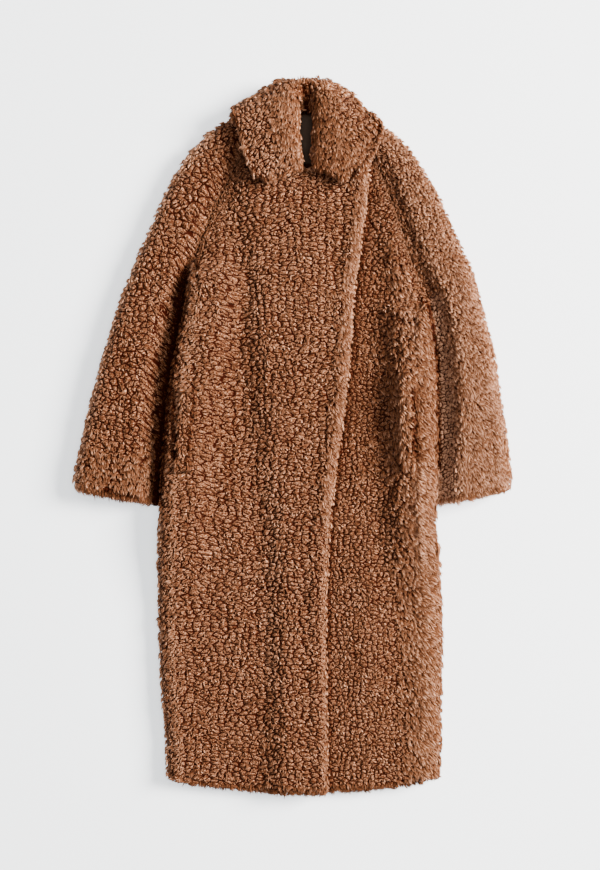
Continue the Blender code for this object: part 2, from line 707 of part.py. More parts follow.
def build():
    for old in list(bpy.data.objects):
        bpy.data.objects.remove(old, do_unlink=True)
    collection = bpy.data.collections.new("teddy_coat")
    bpy.context.scene.collection.children.link(collection)
    pieces = dict(
        back=back(),
        front_left=front_left(),
        front_right=front_right(),
        sleeve_right=sleeve("left"),
        sleeve_left=sleeve("right"),
        collar=collar(),
        pocket_welt_right=welt("left"),
        pocket_welt_left=welt("right"),
        neck_lining=neck_lining(),
    )
    corners = np.concatenate([points for points, faces in pieces.values()])
    low, high = corners.min(axis=0), corners.max(axis=0)
    offset = np.array([(low[0] + high[0]) / 2, (low[1] + high[1]) / 2, low[2]])
    for name, solid in pieces.items():
        lining = name == "neck_lining"
        colour = LINING_COLOUR if lining else PILE_COLOUR
        finish = material(name, colour, 0.6 if lining else 0.95)
        add(name, solid, offset, finish, collection)


build()
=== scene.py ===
"""Looks of a long teddy coat laid out flat: thin cloth, a curly pile of combed locks and a lining.

Lengths are metres in the frame's own axes: +Y from hem to collar, +Z up. Each panel of cloth is
a thin shell inside its solid, and the pile fills the space from there to the solid's outer face.
"""
import math

import bmesh
import bpy
import numpy as np
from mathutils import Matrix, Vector
from mathutils.bvhtree import BVHTree


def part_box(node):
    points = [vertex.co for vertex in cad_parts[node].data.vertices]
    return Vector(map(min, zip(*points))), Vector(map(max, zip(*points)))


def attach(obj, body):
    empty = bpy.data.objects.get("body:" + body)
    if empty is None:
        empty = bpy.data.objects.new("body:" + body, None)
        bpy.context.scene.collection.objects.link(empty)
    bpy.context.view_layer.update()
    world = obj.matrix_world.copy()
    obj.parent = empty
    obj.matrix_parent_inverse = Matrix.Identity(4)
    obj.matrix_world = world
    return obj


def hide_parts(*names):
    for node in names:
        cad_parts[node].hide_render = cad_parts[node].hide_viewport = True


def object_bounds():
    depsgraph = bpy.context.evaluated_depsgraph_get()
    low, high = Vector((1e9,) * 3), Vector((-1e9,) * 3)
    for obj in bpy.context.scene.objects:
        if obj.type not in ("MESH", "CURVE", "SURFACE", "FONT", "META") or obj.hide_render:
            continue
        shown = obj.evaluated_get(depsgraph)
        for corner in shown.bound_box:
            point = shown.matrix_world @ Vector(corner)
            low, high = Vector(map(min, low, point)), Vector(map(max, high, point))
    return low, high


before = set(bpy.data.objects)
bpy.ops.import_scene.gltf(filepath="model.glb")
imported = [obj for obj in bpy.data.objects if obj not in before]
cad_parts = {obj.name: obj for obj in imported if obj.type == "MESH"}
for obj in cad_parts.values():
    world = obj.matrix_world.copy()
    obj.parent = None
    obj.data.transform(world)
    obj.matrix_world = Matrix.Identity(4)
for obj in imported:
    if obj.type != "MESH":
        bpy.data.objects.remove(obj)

CAD_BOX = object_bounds()
MM = 0.001

# ---------------------------------------------------------------- camera and light

VIEW_HEIGHT = 3.0             # of the lens above the coat
VIEW_LENGTH = 1.479           # that the view's long side takes in, at the coat
VIEW_CENTRE = (0.0132, 0.0028, 0.03)
SKY_COLOUR = (1.0, 0.98, 0.96, 1.0)
SKY_STRENGTH = 0.26
LAMPS = [
    dict(name="window", at=(4.8, 1.3, 3.5), width=2.7, watts=1900.0, colour=(1.0, 0.98, 0.95)),
    dict(name="ceiling", at=(0.3, 0.4, 3.6), width=2.2, watts=85.0, colour=(1.0, 0.99, 0.98)),
]


def in_scene(name, data):
    """A new object, linked to the scene."""
    made = bpy.data.objects.new(name, data)
    bpy.context.scene.collection.objects.link(made)
    return made


def camera():
    lens = bpy.data.cameras.new("camera")
    lens.lens = lens.sensor_width * VIEW_HEIGHT / VIEW_LENGTH
    made = in_scene("camera", lens)
    made.location = Vector(VIEW_CENTRE) + Vector((0.0, 0.0, VIEW_HEIGHT))
    bpy.context.scene.camera = made


def lights():
    for lamp in LAMPS:
        data = bpy.data.lights.new(lamp["name"], "AREA")
        data.size = lamp["width"]
        data.energy = lamp["watts"]
        data.color = lamp["colour"]
        made = in_scene(lamp["name"], data)
        made.location = lamp["at"]
        made.rotation_euler = Vector(lamp["at"]).to_track_quat("Z", "Y").to_euler()
    world = bpy.data.worlds.new("studio")
    world.use_nodes = True
    sky = world.node_tree.nodes["Background"].inputs
    sky["Color"].default_value = SKY_COLOUR
    sky["Strength"].default_value = SKY_STRENGTH
    bpy.context.scene.world = world


# ---------------------------------------------------------------- node trees

class Wire:
    """An output of a node; arithmetic on it adds Math nodes to its tree."""

    def __init__(self, graph, socket):
        self.graph = graph
        self.socket = socket

    def math(self, operation, *values):
        return self.graph.node("ShaderNodeMath", {"operation": operation},
                               dict(enumerate(values)))

    def __add__(self, other):
        return self.math("ADD", self, other)

    def __radd__(self, other):
        return self.math("ADD", other, self)

    def __sub__(self, other):
        return self.math("SUBTRACT", self, other)

    def __rsub__(self, other):
        return self.math("SUBTRACT", other, self)

    def __mul__(self, other):
        return self.math("MULTIPLY", self, other)

    def __rmul__(self, other):
        return self.math("MULTIPLY", other, self)


class Graph:
    """A node tree and the one method that adds a node to it; the others call it."""

    def __init__(self, tree):
        self.tree = tree

    def node(self, kind, settings=None, sockets=None, out=0):
        """Adds a node, sets its settings, then its sockets, and returns one of its outputs."""
        made = self.tree.nodes.new(kind)
        for name, value in (settings or {}).items():
            if name == "stops":
                self.set_stops(made.color_ramp, value)
            else:
                setattr(made, name, value)
        self.feed(made, sockets or {})
        return Wire(self, self.pick(made.outputs, out))

    def feed(self, made, sockets):
        """Links wires to a node's sockets, and sets the others to plain values."""
        for key, value in sockets.items():
            socket = self.pick(made.inputs, key)
            if isinstance(value, Wire):
                self.tree.links.new(value.socket, socket)
            else:
                socket.default_value = value

    @staticmethod
    def pick(sockets, key):
        """The socket at a place, or with an identifier or a name."""
        if isinstance(key, int):
            return sockets[key]
        return next(s for s in sockets if key in (s.identifier, s.name))

    @staticmethod
    def set_stops(ramp, stops):
        while len(ramp.elements) < len(stops):
            ramp.elements.new(1.0)
        for element, (place, colour) in zip(ramp.elements, stops):
            element.position = place
            element.color = (*colour, 1.0)

    def vector(self, operation, first, second):
        """Vector arithmetic; SCALE takes a number second."""
        return self.node("ShaderNodeVectorMath", {"operation": operation},
                         {0: first, "Scale" if operation == "SCALE" else 1: second}, "Vector")

    def axis(self, vector, axis):
        return self.node("ShaderNodeSeparateXYZ", None, {0: vector}, axis)

    def noise(self, at, scale, detail, roughness=0.5, out="Fac"):
        return self.node("ShaderNodeTexNoise", None, {
            "Vector": at, "Scale": scale, "Detail": detail, "Roughness": roughness}, out)

    def wave(self, at, way, scale, distortion, detail=2.0):
        """Bands that follow each other along an axis."""
        return self.node("ShaderNodeTexWave", {"wave_type": "BANDS", "bands_direction": way}, {
            "Vector": at, "Scale": scale, "Distortion": distortion, "Detail": detail}, "Fac")

    def bump(self, height, strength, depth):
        return self.node("ShaderNodeBump", None, {
            "Strength": strength, "Distance": depth, "Height": height}, "Normal")

    def attribute(self, name, out="Fac"):
        return self.node("ShaderNodeAttribute", {"attribute_name": name}, None, out)

    def in_place(self):
        """Places in the object's own axes."""
        return self.node("ShaderNodeTexCoord", None, None, "Object")


def surface(name):
    """A new material, the graph to finish it with and its Principled shader."""
    made = bpy.data.materials.new(name)
    made.use_nodes = True
    return made, Graph(made.node_tree), made.node_tree.nodes["Principled BSDF"]


# ---------------------------------------------------------------- materials and floor

# The pile's colours from darkest to palest. The first is painted shade: in the cracks between
# curls, at the strands' roots and in the gaps of the knit.
PAINTED_CRACK_SHADE = (0.020, 0.0015, 0.0001)
CURL_BODY = (0.115, 0.038, 0.015)
CURL_CROWN = (0.200, 0.078, 0.036)
CURL_TIP = (0.680, 0.350, 0.210)
BACKING_SHADE = (0.060, 0.024, 0.011)
LINING_SHADE = (0.048, 0.029, 0.019)
FLOOR_SHADE = (0.955, 0.968, 0.98)
FLOOR_GLOW = (0.88, 0.945, 1.0, 1.0)
GLOW_STRENGTH = 1.1
FLOOR_EDGE = 3.2                # of the floor, from its middle

CURL_STRAY = 0.88               # how far curls are from an even grid, 0 to 1
BENDS = ((0.8, 1.0, 0.75), (4.2, 2.0, 0.17))   # of that grid: how fine, its detail, how far
# The painted shade of the cracks: where it begins to fade and is gone, and how ragged its edge is.
CRACK_WIDTH = (0.05, 0.165)     # in curls: where the crack's shade begins to fade, and is gone
CRACK_FRAY = dict(speck=0.15, patch=0.12)
DOME = 2.4                      # a curl is level where the crack is over 1 / DOME away
RELIEF = dict(curl=3.8 * MM, strand=0.6 * MM, knit=0.5 * MM, satin=0.2 * MM)   # of each bump

# How pale the pile is and how high its bump stands: what each number that differs over it
# adds, times its share here.
# In the curls, tone brings the bands' painted light and shade with the pile's own tone, and speck
# is fine uneven tone, partly painted self-shade of the fibres.
CURL_LEVEL = dict(base=0.17, speck=3.4, own=0.12, tone=0.24, combed=0.20)
CURL_BUMP = dict(dome=0.9, face=0.5, speck=0.6)
# Along a strand the level paints shade at its root and, with the fibres' paler tips, a highlight
# at its tip.
STRAND_LEVEL = dict(along=0.95, own=0.34, lock=0.24, fibres=1.3, base=0.30)
FIBRES = dict(across=4.0, along=2.2)           # how fine their pattern is on a strand
FIBRE_SHIFT = dict(own=37.0, lock=11.0)        # of their pattern, so that no two are alike


def curl_pattern(g, at):
    """Distance to the nearest crack between curls and a number for each curl.

    The pile's relief and its colours both come from here, so that they lie on each other.
    One unit of the pattern is one curl.
    """
    bent = at
    for scale, detail, share in BENDS:
        centred = g.vector("SUBTRACT", g.noise(at, scale, detail, out="Color"), (0.5, 0.5, 0.5))
        bent = g.vector("ADD", bent, g.vector("SCALE", centred, share))

    def cells(feature, out):
        return g.node("ShaderNodeTexVoronoi", {"feature": feature, "voronoi_dimensions": "2D"},
                      {"Vector": bent, "Scale": 1.0, "Randomness": CURL_STRAY}, out)

    return cells("DISTANCE_TO_EDGE", "Distance"), g.axis(cells("F1", "Color"), "X")


def pile_shade(g, level, crown, tip):
    """The pile's colour at a level, from the painted crack shade up; crown and tip say where the
    palest two are reached.
    """
    return g.node("ShaderNodeValToRGB", {"stops": [
        (0.0, PAINTED_CRACK_SHADE), (0.3, CURL_BODY), (crown, CURL_CROWN), (tip, CURL_TIP)]},
        {"Fac": level}, "Color")


# Mixes in the painted crack shade where share is low.
def with_painted_crack_shade(g, share, shade):
    return g.node("ShaderNodeMix", {"data_type": "RGBA"}, {
        "Factor": share, "A_Color": (*PAINTED_CRACK_SHADE, 1.0), "B_Color": shade}, "Result_Color")


def finish_pile(g, shader, shade, roughness, height, relief):
    """What curls and strands share: a soft sheen, little gloss and the bump of their fibres."""
    g.feed(shader, {
        "Base Color": shade, "Roughness": roughness,
        "Specular IOR Level": 0.06, "Specular Tint": (1.0, 0.6, 0.38, 1.0),
        "Sheen Weight": 0.02, "Sheen Roughness": 0.4, "Sheen Tint": (1.0, 0.66, 0.45, 1.0),
        "Normal": g.bump(height, 0.8, relief)})


def curl_material():
    """The curly face of the pile: soft brown curls, painted shade in the cracks between them over
    the real shade of the sunk relief, and pale fibre tips.
    """
    made, g, shader = surface("teddy_pile")
    at = g.attribute("curl_at", "Vector")
    tone, combed = g.attribute("tone"), g.attribute("combed")
    edge, own = curl_pattern(g, at)
    speck = g.noise(at, scale=4.8, detail=3.0, roughness=0.75)
    patch = g.noise(at, scale=0.45, detail=2.0)
    ragged = edge + (speck - 0.5) * CRACK_FRAY["speck"] + (patch - 0.5) * CRACK_FRAY["patch"]
    face = g.node("ShaderNodeMapRange", {"interpolation_type": "SMOOTHSTEP"}, {
        "Value": ragged, "From Min": CRACK_WIDTH[0], "From Max": CRACK_WIDTH[1]}, "Result")
    share = CURL_LEVEL
    level = (share["base"] + (speck - 0.5) * share["speck"] + own * share["own"]
             + tone * share["tone"] - combed * share["combed"])
    # Painted shade in the cracks between curls.
    shade = with_painted_crack_shade(g, face, pile_shade(g, level, crown=0.55, tip=0.95))
    dome = edge.math("MINIMUM", edge * DOME, 1.0)
    height = dome * CURL_BUMP["dome"] + face * CURL_BUMP["face"] + speck * CURL_BUMP["speck"]
    finish_pile(g, shader, shade, 0.62 - speck * 0.15, height, RELIEF["curl"])
    return made


def strand_material():
    """Loose strands over the curls: darker at the root with painted shade, paler at the tip,
    partly their own paler fibres and partly a painted highlight.
    """
    made, g, shader = surface("teddy_strands")
    place = g.node("ShaderNodeUVMap", {"uv_map": "strand_map"})
    across, along = g.axis(place, "X"), g.axis(place, "Y")
    own, lock = g.attribute("strand_tone"), g.attribute("lock_tone")
    fibre_at = g.node("ShaderNodeCombineXYZ", None, {
        "X": across * FIBRES["across"], "Y": along * FIBRES["along"],
        "Z": own * FIBRE_SHIFT["own"] + lock * FIBRE_SHIFT["lock"]})
    fibres = g.noise(fibre_at, scale=1.0, detail=2.0, roughness=0.6)
    share = STRAND_LEVEL
    # Painted shade at the root, rising to a painted highlight at the paler tip.
    level = (along * share["along"] + own * share["own"] + lock * share["lock"]
             + (fibres - 0.5) * share["fibres"] - share["base"])
    shade = pile_shade(g, level, crown=0.6, tip=1.0)
    finish_pile(g, shader, shade, 0.56 - fibres * 0.2, fibres, RELIEF["strand"])
    return made


def backing_material():
    """The knitted backing under the pile, with its fine ribs of loops and painted shade in the
    gaps between them.
    """
    made, g, shader = surface("knitted_backing")
    at = g.in_place()
    ribs = g.wave(at, "X", scale=260.0, distortion=1.5, detail=1.0)
    knit = ribs * g.wave(at, "Y", scale=330.0, distortion=1.0)
    g.feed(shader, {
        "Base Color": with_painted_crack_shade(g, knit, (*BACKING_SHADE, 1.0)),
        "Roughness": 1.0 - knit * 0.05, "Specular IOR Level": 0.0,
        "Normal": g.bump(knit, 0.5, RELIEF["knit"])})
    return made


def lining_material():
    """Satin lining: fine diagonal floats with a soft gloss."""
    made, g, shader = surface("satin_lining")
    at = g.in_place()
    turned = g.node("ShaderNodeMapping", None, {"Vector": at, "Rotation": (0.0, 0.0, 0.7)})
    floats = g.wave(turned, "X", scale=420.0, distortion=0.6)
    cloud = g.noise(at, scale=60.0, detail=3.0)
    g.feed(shader, {
        "Base Color": g.vector("SCALE", LINING_SHADE, 0.75 + floats * 0.25 + cloud * 0.3),
        "Roughness": 0.5 + cloud * 0.18, "Specular IOR Level": 0.08,
        "Normal": g.bump(floats, 0.3, RELIEF["satin"])})
    return made


def floor():
    """The pale floor, with a faint cloud in its colour and a glow of its own."""
    made, g, shader = surface("pale_floor")
    cloud = g.noise(g.in_place(), scale=1.3, detail=1.0)
    g.feed(shader, {
        "Base Color": g.vector("SCALE", FLOOR_SHADE, 0.985 + cloud * 0.03), "Roughness": 0.8,
        "Emission Color": FLOOR_GLOW, "Emission Strength": GLOW_STRENGTH})
    mesh = bpy.data.meshes.new("floor")
    mesh.from_pydata([(x * FLOOR_EDGE, y * FLOOR_EDGE, 0.0)
                      for x, y in ((-1, -1), (1, -1), (1, 1), (-1, 1))], [], [(0, 1, 2, 3)])
    mesh.materials.append(made)
    plane = in_scene("floor", mesh)


# ---------------------------------------------------------------- cloth

OUTER, INNER, RIM, SEAM = 1, 0, 2, 3
EDGE_TURN = math.radians(50.0)    # sharper edges part a wall's faces from its rims
SEAM_REACH = 4.0 * MM             # a rim this near another piece is sewn to it
RIM_BACK = 3.0 * MM               # how far cloth ends inside the tips of its free edges
STEEP_PILE = 4.5 * MM             # depth of pile on walls that stand upright
PRESS_REACH = 7.0 * MM            # pile with another piece this near is pressed
PRESSED_PILE = 3.0 * MM
THIN = 2.6 * MM                   # of the cloth itself
LONGEST_EDGE = 24.0 * MM
LEVEL_GAIN = 1.4                  # pile is full where a normal's rise is over 1 / LEVEL_GAIN
LEAST_PULL = 0.4 * MM
SAME_POINT = 1e-5                 # corners nearer than this are one
RAY_START = 0.05 * MM             # in front of the face that a ray leaves
ROUNDS = 3                        # of halving long edges, and of softening
SOFTENED = 0.4                    # share of the way to its neighbours, each round
SATIN_TUCK = 0.5 * MM             # height of the lining's shallow tucks

# Node: which way its pile faces, the pile's depth over the cloth in millimetres, and the size
# and area of the flat piece that was cut for it, in metres. Then the width and height of its
# curls and the size of its skin's faces, in millimetres.
PANELS = dict(
    back=dict(faces="down", pile=9.0, flat=(0.56, 1.16), area=0.50,
              curl=(11.0, 8.6), grain=3.8),
    front_right=dict(faces="up", pile=11.0, flat=(0.36, 1.12), area=0.287,
                     curl=(13.6, 7.0), grain=3.0),
    front_left=dict(faces="up", pile=11.0, flat=(0.30, 1.12), area=0.245,
                    curl=(10.2, 7.2), grain=3.0),
    sleeve_right=dict(faces="round", pile=10.0, flat=(0.40, 0.68), area=0.165,
                      curl=(12.4, 9.4), grain=3.0),
    sleeve_left=dict(faces="round", pile=10.0, flat=(0.40, 0.68), area=0.14,
                     curl=(7.5, 6.4), grain=3.0),
    collar=dict(faces="round", pile=9.0, flat=(0.46, 0.19), area=0.063,
                curl=(9.2, 9.4), grain=2.8),
    pocket_welt_right=dict(faces="up", pile=4.5, flat=(0.030, 0.14), area=0.0030,
                           curl=(9.0, 8.0), grain=2.4),
    pocket_welt_left=dict(faces="up", pile=4.5, flat=(0.030, 0.165), area=0.0037,
                          curl=(9.0, 8.0), grain=2.4),
)

# Finer creases than the solids hold: start, end, width and height, in millimetres. Those of
# the underside press the cloth up from the floor.
CREASES_ABOVE = [
    ((-100, -250), (15, -268), 12, -2.4),
    ((-110, -322), (25, -340), 11, -2.7),
    ((-60, -392), (45, -404), 12, -2.1),
    ((-150, 210), (-96, 150), 14, -3.0),
    ((-190, 40), (-120, 16), 13, -2.2),
    ((60, 330), (92, 250), 13, -2.7),
    ((-300, 120), (-236, 96), 14, -3.3),
    ((-330, 10), (-250, -8), 13, -2.7),
    ((-262, 250), (-206, 236), 13, -3.0),
    ((-320, -94), (-264, -105), 5, -4.5),
    ((268, 190), (318, 160), 14, -3.6),
    ((262, 60), (330, 26), 14, -3.0),
    ((190, -300), (236, -330), 15, -2.7),
    ((110, -120), (180, -160), 14, -2.7),
]
CREASES_BELOW = [
    ((-90, 380), (-60, 120), 22, 3.0),
    ((110, 400), (96, 170), 20, 2.6),
    ((-40, 40), (-64, -230), 24, 3.2),
    ((90, -60), (112, -360), 26, 2.8),
    ((-120, -300), (-20, -332), 14, 2.2),
    ((30, -420), (150, -440), 15, 2.0),
    ((-310, 90), (-236, 60), 15, 2.4),
    ((250, 120), (322, 84), 15, 2.4),
]


def crease_height(creases, x, y):
    """Height of a table's creases at a place, in metres."""
    total = np.zeros(len(x))
    for start, end, width, height in creases:
        start = np.array(start) * MM
        line = np.array(end) * MM - start
        along = ((x - start[0]) * line[0] + (y - start[1]) * line[1]) / line.dot(line)
        near = np.clip(along, 0.0, 1.0)
        gap = np.hypot(x - start[0] - near * line[0], y - start[1] - near * line[1])
        total += height * MM * np.exp(-(gap / (width * MM)) ** 2)
    return total


def creased(places, normals):
    """How far the creases lift each place, above and below, in metres."""
    x, y = places[:, 0], places[:, 1]
    above = crease_height(CREASES_ABOVE, x, y) * np.clip(normals[:, 2] * 2.0, 0.0, 1.0)
    below = crease_height(CREASES_BELOW, x, y) * np.clip(-normals[:, 2] * 2.0, 0.0, 1.0)
    return above + below


# Where a panel's outline is drawn in or out a little: place, movement and reach, in
# millimetres.
TUCKS = dict(
    collar=[
        ((-82, 584), (5.0, -4.0), 24),
        ((137, 557), (-11.0, -4.0), 28),
        ((104, 592), (2.0, 2.0), 22),
        ((15, 462), (4.0, 0.0), 19),
        ((38, 462), (-6.5, 0.0), 19),
        ((38, 488), (-2.5, 0.0), 17),
        ((-22, 608), (0.0, 4.5), 17),
        ((60, 608), (2.0, 4.5), 17),
        ((-35, 432), (0.0, -6.0), 32),
        ((100, 432), (0.0, -4.0), 30),
    ],
    sleeve_right=[
        ((-112, 532), (-6.0, 5.0), 26),
        ((-152, 492), (-2.5, 2.0), 30),
        ((-300, 170), (1.8, 0.0), 150),
        ((-184, 270), (4.0, 0.0), 16),
        ((-362, -20), (1.5, 0.0), 40),
        ((-368, -88), (-4.0, 0.0), 26),
        ((-300, -104), (0.0, -5.0), 50),
    ],
    sleeve_left=[
        ((163, 520), (3.0, 3.0), 26),
        ((229, 232), (-4.0, 0.0), 16),
        ((238, 204), (-2.0, 0.0), 15),
        ((350, 60), (1.0, 0.0), 80),
        ((318, 250), (3.0, 1.0), 80),
        ((371, -80), (3.0, 0.0), 24),
        ((320, -104), (0.0, -4.0), 50),
    ],
    front_right=[
        ((-172, 270), (-3.0, 0.0), 14),
    ],
    back=[
        ((236, 205), (4.0, 0.0), 20),
        ((252, -144), (-4.0, 0.0), 42),
        ((252, -592), (-4.0, 5.0), 26),
        ((-213, -590), (2.0, 4.0), 20),
    ],
    front_left=[
        ((222, 232), (3.0, 0.0), 14),
    ],
)


def merged(node):
    """A CAD node's mesh as a bmesh with its doubles merged, and its outline tucked."""
    made = bmesh.new()
    made.from_mesh(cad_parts[node].data)
    bmesh.ops.remove_doubles(made, verts=made.verts[:], dist=SAME_POINT)
    for at, move, reach in TUCKS.get(node, ()):
        for vertex in made.verts:
            gap = (vertex.co.xy - Vector(at) * MM).length / (reach * MM)
            vertex.co.xy += Vector(move) * MM * math.exp(-gap * gap)
    made.normal_update()
    made.faces.ensure_lookup_table()
    made.verts.ensure_lookup_table()
    return made


def face_regions(mesh):
    """A number for each face, alike where faces meet at a soft angle."""
    region = [-1] * len(mesh.faces)
    count = 0
    for first in mesh.faces:
        if region[first.index] >= 0:
            continue
        region[first.index] = count
        queue = [first]
        while queue:
            face = queue.pop()
            for edge in face.edges:
                for other in edge.link_faces:
                    if region[other.index] < 0 and edge.calc_face_angle(0.0) < EDGE_TURN:
                        region[other.index] = count
                        queue.append(other)
        count += 1
    return region, count


def solid_tree():
    """One BVH of all CAD nodes, and the node of each triangle in it."""
    points, triangles, owners = [], [], []
    for name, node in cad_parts.items():
        start = len(points)
        points += [vertex.co.copy() for vertex in node.data.vertices]
        for polygon in node.data.polygons:
            triangles.append([start + k for k in polygon.vertices])
            owners.append(name)
    return BVHTree.FromPolygons(points, triangles), owners


SOLIDS, SOLID_OWNERS = solid_tree()


def faces_another(name, at, way, reach):
    """True where another piece's solid lies close in front of a place on this one."""
    hit, _, index, _ = SOLIDS.ray_cast(at + way * RAY_START, way, reach)
    return hit is not None and SOLID_OWNERS[index] != name


def sides_of(mesh, name, faces):
    """OUTER or INNER for each face of the two largest sides; SEAM or RIM for what joins them."""
    region, count = face_regions(mesh)
    area = np.zeros(count)
    rise = np.zeros(count)
    for face in mesh.faces:
        area[region[face.index]] += face.calc_area()
        rise[region[face.index]] += face.calc_area() * face.normal.z
    score = dict(up=rise, down=-rise, round=area)[faces]
    outer, inner = sorted(np.argsort(-area)[:2], key=lambda k: -score[k])
    names = {outer: OUTER, inner: INNER}
    sides = []
    for face in mesh.faces:
        sewn = faces_another(name, face.calc_center_median(), face.normal, SEAM_REACH)
        sides.append(names.get(region[face.index], SEAM if sewn else RIM))
    return sides


def pull_in(mesh, sides, name, pile):
    """Moves the outer wall in by the pile's depth and free rims back from their tips."""
    tree = BVHTree.FromBMesh(mesh)
    moves = []
    for vertex in mesh.verts:
        by_side = {OUTER: Vector(), RIM: Vector()}
        for face in vertex.link_faces:
            if sides[face.index] in by_side:
                by_side[sides[face.index]] += face.normal * face.calc_area()
        move = Vector()
        if by_side[OUTER].length > 0.0:
            inward = -by_side[OUTER].normalized()
            start = vertex.co + inward * 0.1 * MM
            thick = tree.ray_cast(start, inward)[3] or pile + THIN
            pressed = faces_another(name, vertex.co, -inward, PRESS_REACH)
            flat = min(abs(inward.z) * LEVEL_GAIN, 1.0)
            depth = PRESSED_PILE if pressed else STEEP_PILE + (pile - STEEP_PILE) * flat
            move += inward * min(depth, max(thick - THIN, LEAST_PULL))
        if by_side[RIM].length > 0.0:
            move -= by_side[RIM].normalized() * RIM_BACK
        moves.append(move)
    for vertex, move in zip(mesh.verts, moves):
        vertex.co += move


def shorter(mesh, edges):
    """Cuts edges in half, and what that leaves into triangles."""
    bmesh.ops.subdivide_edges(mesh, edges=edges, cuts=1)
    bmesh.ops.triangulate(mesh, faces=[face for face in mesh.faces if len(face.verts) > 3])


def refine(mesh, layer):
    """Halves long edges until none is left, and softens the outer wall."""
    for _ in range(ROUNDS):
        long = [edge for edge in mesh.edges if edge.calc_length() > LONGEST_EDGE]
        if not long:
            break
        shorter(mesh, long)
    soft = [vertex for vertex in mesh.verts
            if all(face[layer] == OUTER for face in vertex.link_faces)]
    for _ in range(ROUNDS):
        bmesh.ops.smooth_vert(mesh, verts=soft, factor=SOFTENED, use_axis_x=True,
                              use_axis_y=True, use_axis_z=True)


def in_cloth(name, mesh, finish):
    """A smooth object of a bmesh, in its material."""
    data = bpy.data.meshes.new(name)
    mesh.to_mesh(data)
    mesh.free()
    data.materials.append(finish)
    data.shade_smooth()
    return in_scene(name, data)


def cloth(name, finish):
    """A panel's thin shell: the knitted backing deep under the tips of its pile."""
    mesh = merged(name)
    sides = sides_of(mesh, name, PANELS[name]["faces"])
    pull_in(mesh, sides, name, PANELS[name]["pile"] * MM)
    layer = mesh.faces.layers.int.new("side")
    for face, side in zip(mesh.faces, sides):
        face[layer] = side
    refine(mesh, layer)
    mesh.normal_update()
    places = np.array([vertex.co for vertex in mesh.verts])
    normals = np.array([vertex.normal for vertex in mesh.verts])
    on_outer = np.array([any(face[layer] == OUTER for face in vertex.link_faces)
                         for vertex in mesh.verts])
    for vertex, lift in zip(mesh.verts, creased(places, normals) * on_outer):
        vertex.co.z += lift
    return in_cloth("cloth_" + name, mesh, finish)


def lining(finish):
    """The back neck's lining: its solid's form, refined, with shallow tucks."""
    mesh = merged("neck_lining")
    for _ in range(2):
        shorter(mesh, mesh.edges[:])
    for vertex in mesh.verts:
        phase = vertex.co.x / (4.0 * MM) + vertex.co.y / (22.0 * MM)
        vertex.co.z += SATIN_TUCK * math.sin(phase)
    return in_cloth("lining_neck", mesh, finish)


# ---------------------------------------------------------------- locks of pile

# A lock is a few strands that rise from its root and arch over along the nap. Lengths are in
# millimetres and angles in degrees. Rise and fall are a strand's angles to the cloth, at its
# root and at its tip; spread is from the lock's middle to its outermost strands, fan how far
# these turn away from the nap, and close how far they come together again; wave is sideways;
# lift is how pale the root is. Every lock stands LOCK_HEIGHT high before it is fitted to its
# spot: depth is of its root in the pile, and proud how far its top is over the pile.
# The darkness at a strand's root is painted shade, which lift lessens.
LOCK_HEIGHT = 10.0
LOCKS = dict(
    curl=dict(strands=2, length=9.5, rise=96, fall=-74, width=1.7, spread=3.6, fan=50,
              close=0.1, wave=0.8, lift=0.2, depth=(3.0, 4.5), proud=(-1.6, 0.3)),
    flame=dict(strands=3, length=14.0, rise=64, fall=-34, width=2.0, spread=2.6, fan=6,
               close=0.7, wave=1.0, lift=0.1, depth=(3.0, 4.5), proud=(-0.8, 0.9)),
    combed=dict(strands=3, length=18.0, rise=48, fall=-24, width=1.9, spread=3.4, fan=6,
                close=0.5, wave=0.9, lift=0.15, depth=(3.0, 4.5), proud=(-0.8, 0.9)),
    hanging=dict(strands=3, length=19.0, rise=34, fall=-16, width=2.0, spread=3.6, fan=8,
                 close=0.6, wave=1.0, lift=0.1, depth=(3.0, 6.0), proud=(-1.0, 1.5)),
    tuft=dict(strands=4, length=14.0, rise=78, fall=6, width=2.0, spread=4.2, fan=18,
              close=0.35, wave=0.9, lift=0.1, depth=(4.0, 6.0), proud=(0.5, 4.0)),
)
LOCK_ORDER = list(LOCKS)
SORTS = 6                      # different locks of each kind
RINGS = 3                      # of corners along a strand, below its tip
ACROSS = (0.0, 1.0, -1.0)      # where each corner of a ring is on the strand's map
SIDES = len(ACROSS)
STEPS = 48                     # along a strand, to work out its arch
RISE_STRAY, FALL_STRAY = 7.0, 12.0
LENGTHS = (0.86, 1.1)          # of strands, as shares of their lock's length
OUTER_LOW, OUTER_SHORT = 10.0, 0.12    # how much lower and shorter the outermost strands are
FLATNESS = 1.15                # strands are this much wider than thick


def strand_path(row, share, draw):
    """Points of one strand's middle line; share is its place across the lock, -1 to 1."""
    rise = math.radians(row["rise"] + draw.normal(0.0, RISE_STRAY) - OUTER_LOW * share * share)
    fall = math.radians(row["fall"] + draw.normal(0.0, FALL_STRAY))
    length = row["length"] * draw.uniform(*LENGTHS) * (1.0 - OUTER_SHORT * share * share)
    t = np.linspace(0.0, 1.0, RINGS + 1)
    fine = np.linspace(0.0, 1.0, STEPS + 1)
    turn = np.where(fine < 0.5, rise, fall) * np.abs(2.0 * fine - 1.0)
    step = length / STEPS
    forward, upward = (np.concatenate([[0.0], np.cumsum(part(turn[:-1]) * step)])
                       for part in (np.cos, np.sin))
    phase = draw.uniform(0.0, 2.0 * math.pi)
    side = (row["spread"] * share * (1.0 - row["close"] * t ** 1.4)
            + row["wave"] * np.sin(phase + 4.5 * t) * t)
    back = -0.2 * row["length"] + draw.uniform(-1.0, 1.0)
    uneven = draw.uniform(-0.7, 0.7) - 0.8 * share * share
    aside = math.radians(row["fan"]) * share
    ahead = np.interp(t, fine, forward)
    return np.column_stack([back + ahead * math.cos(aside), side + ahead * math.sin(aside),
                            np.interp(t, fine, upward) - 1.0 + uneven * t])


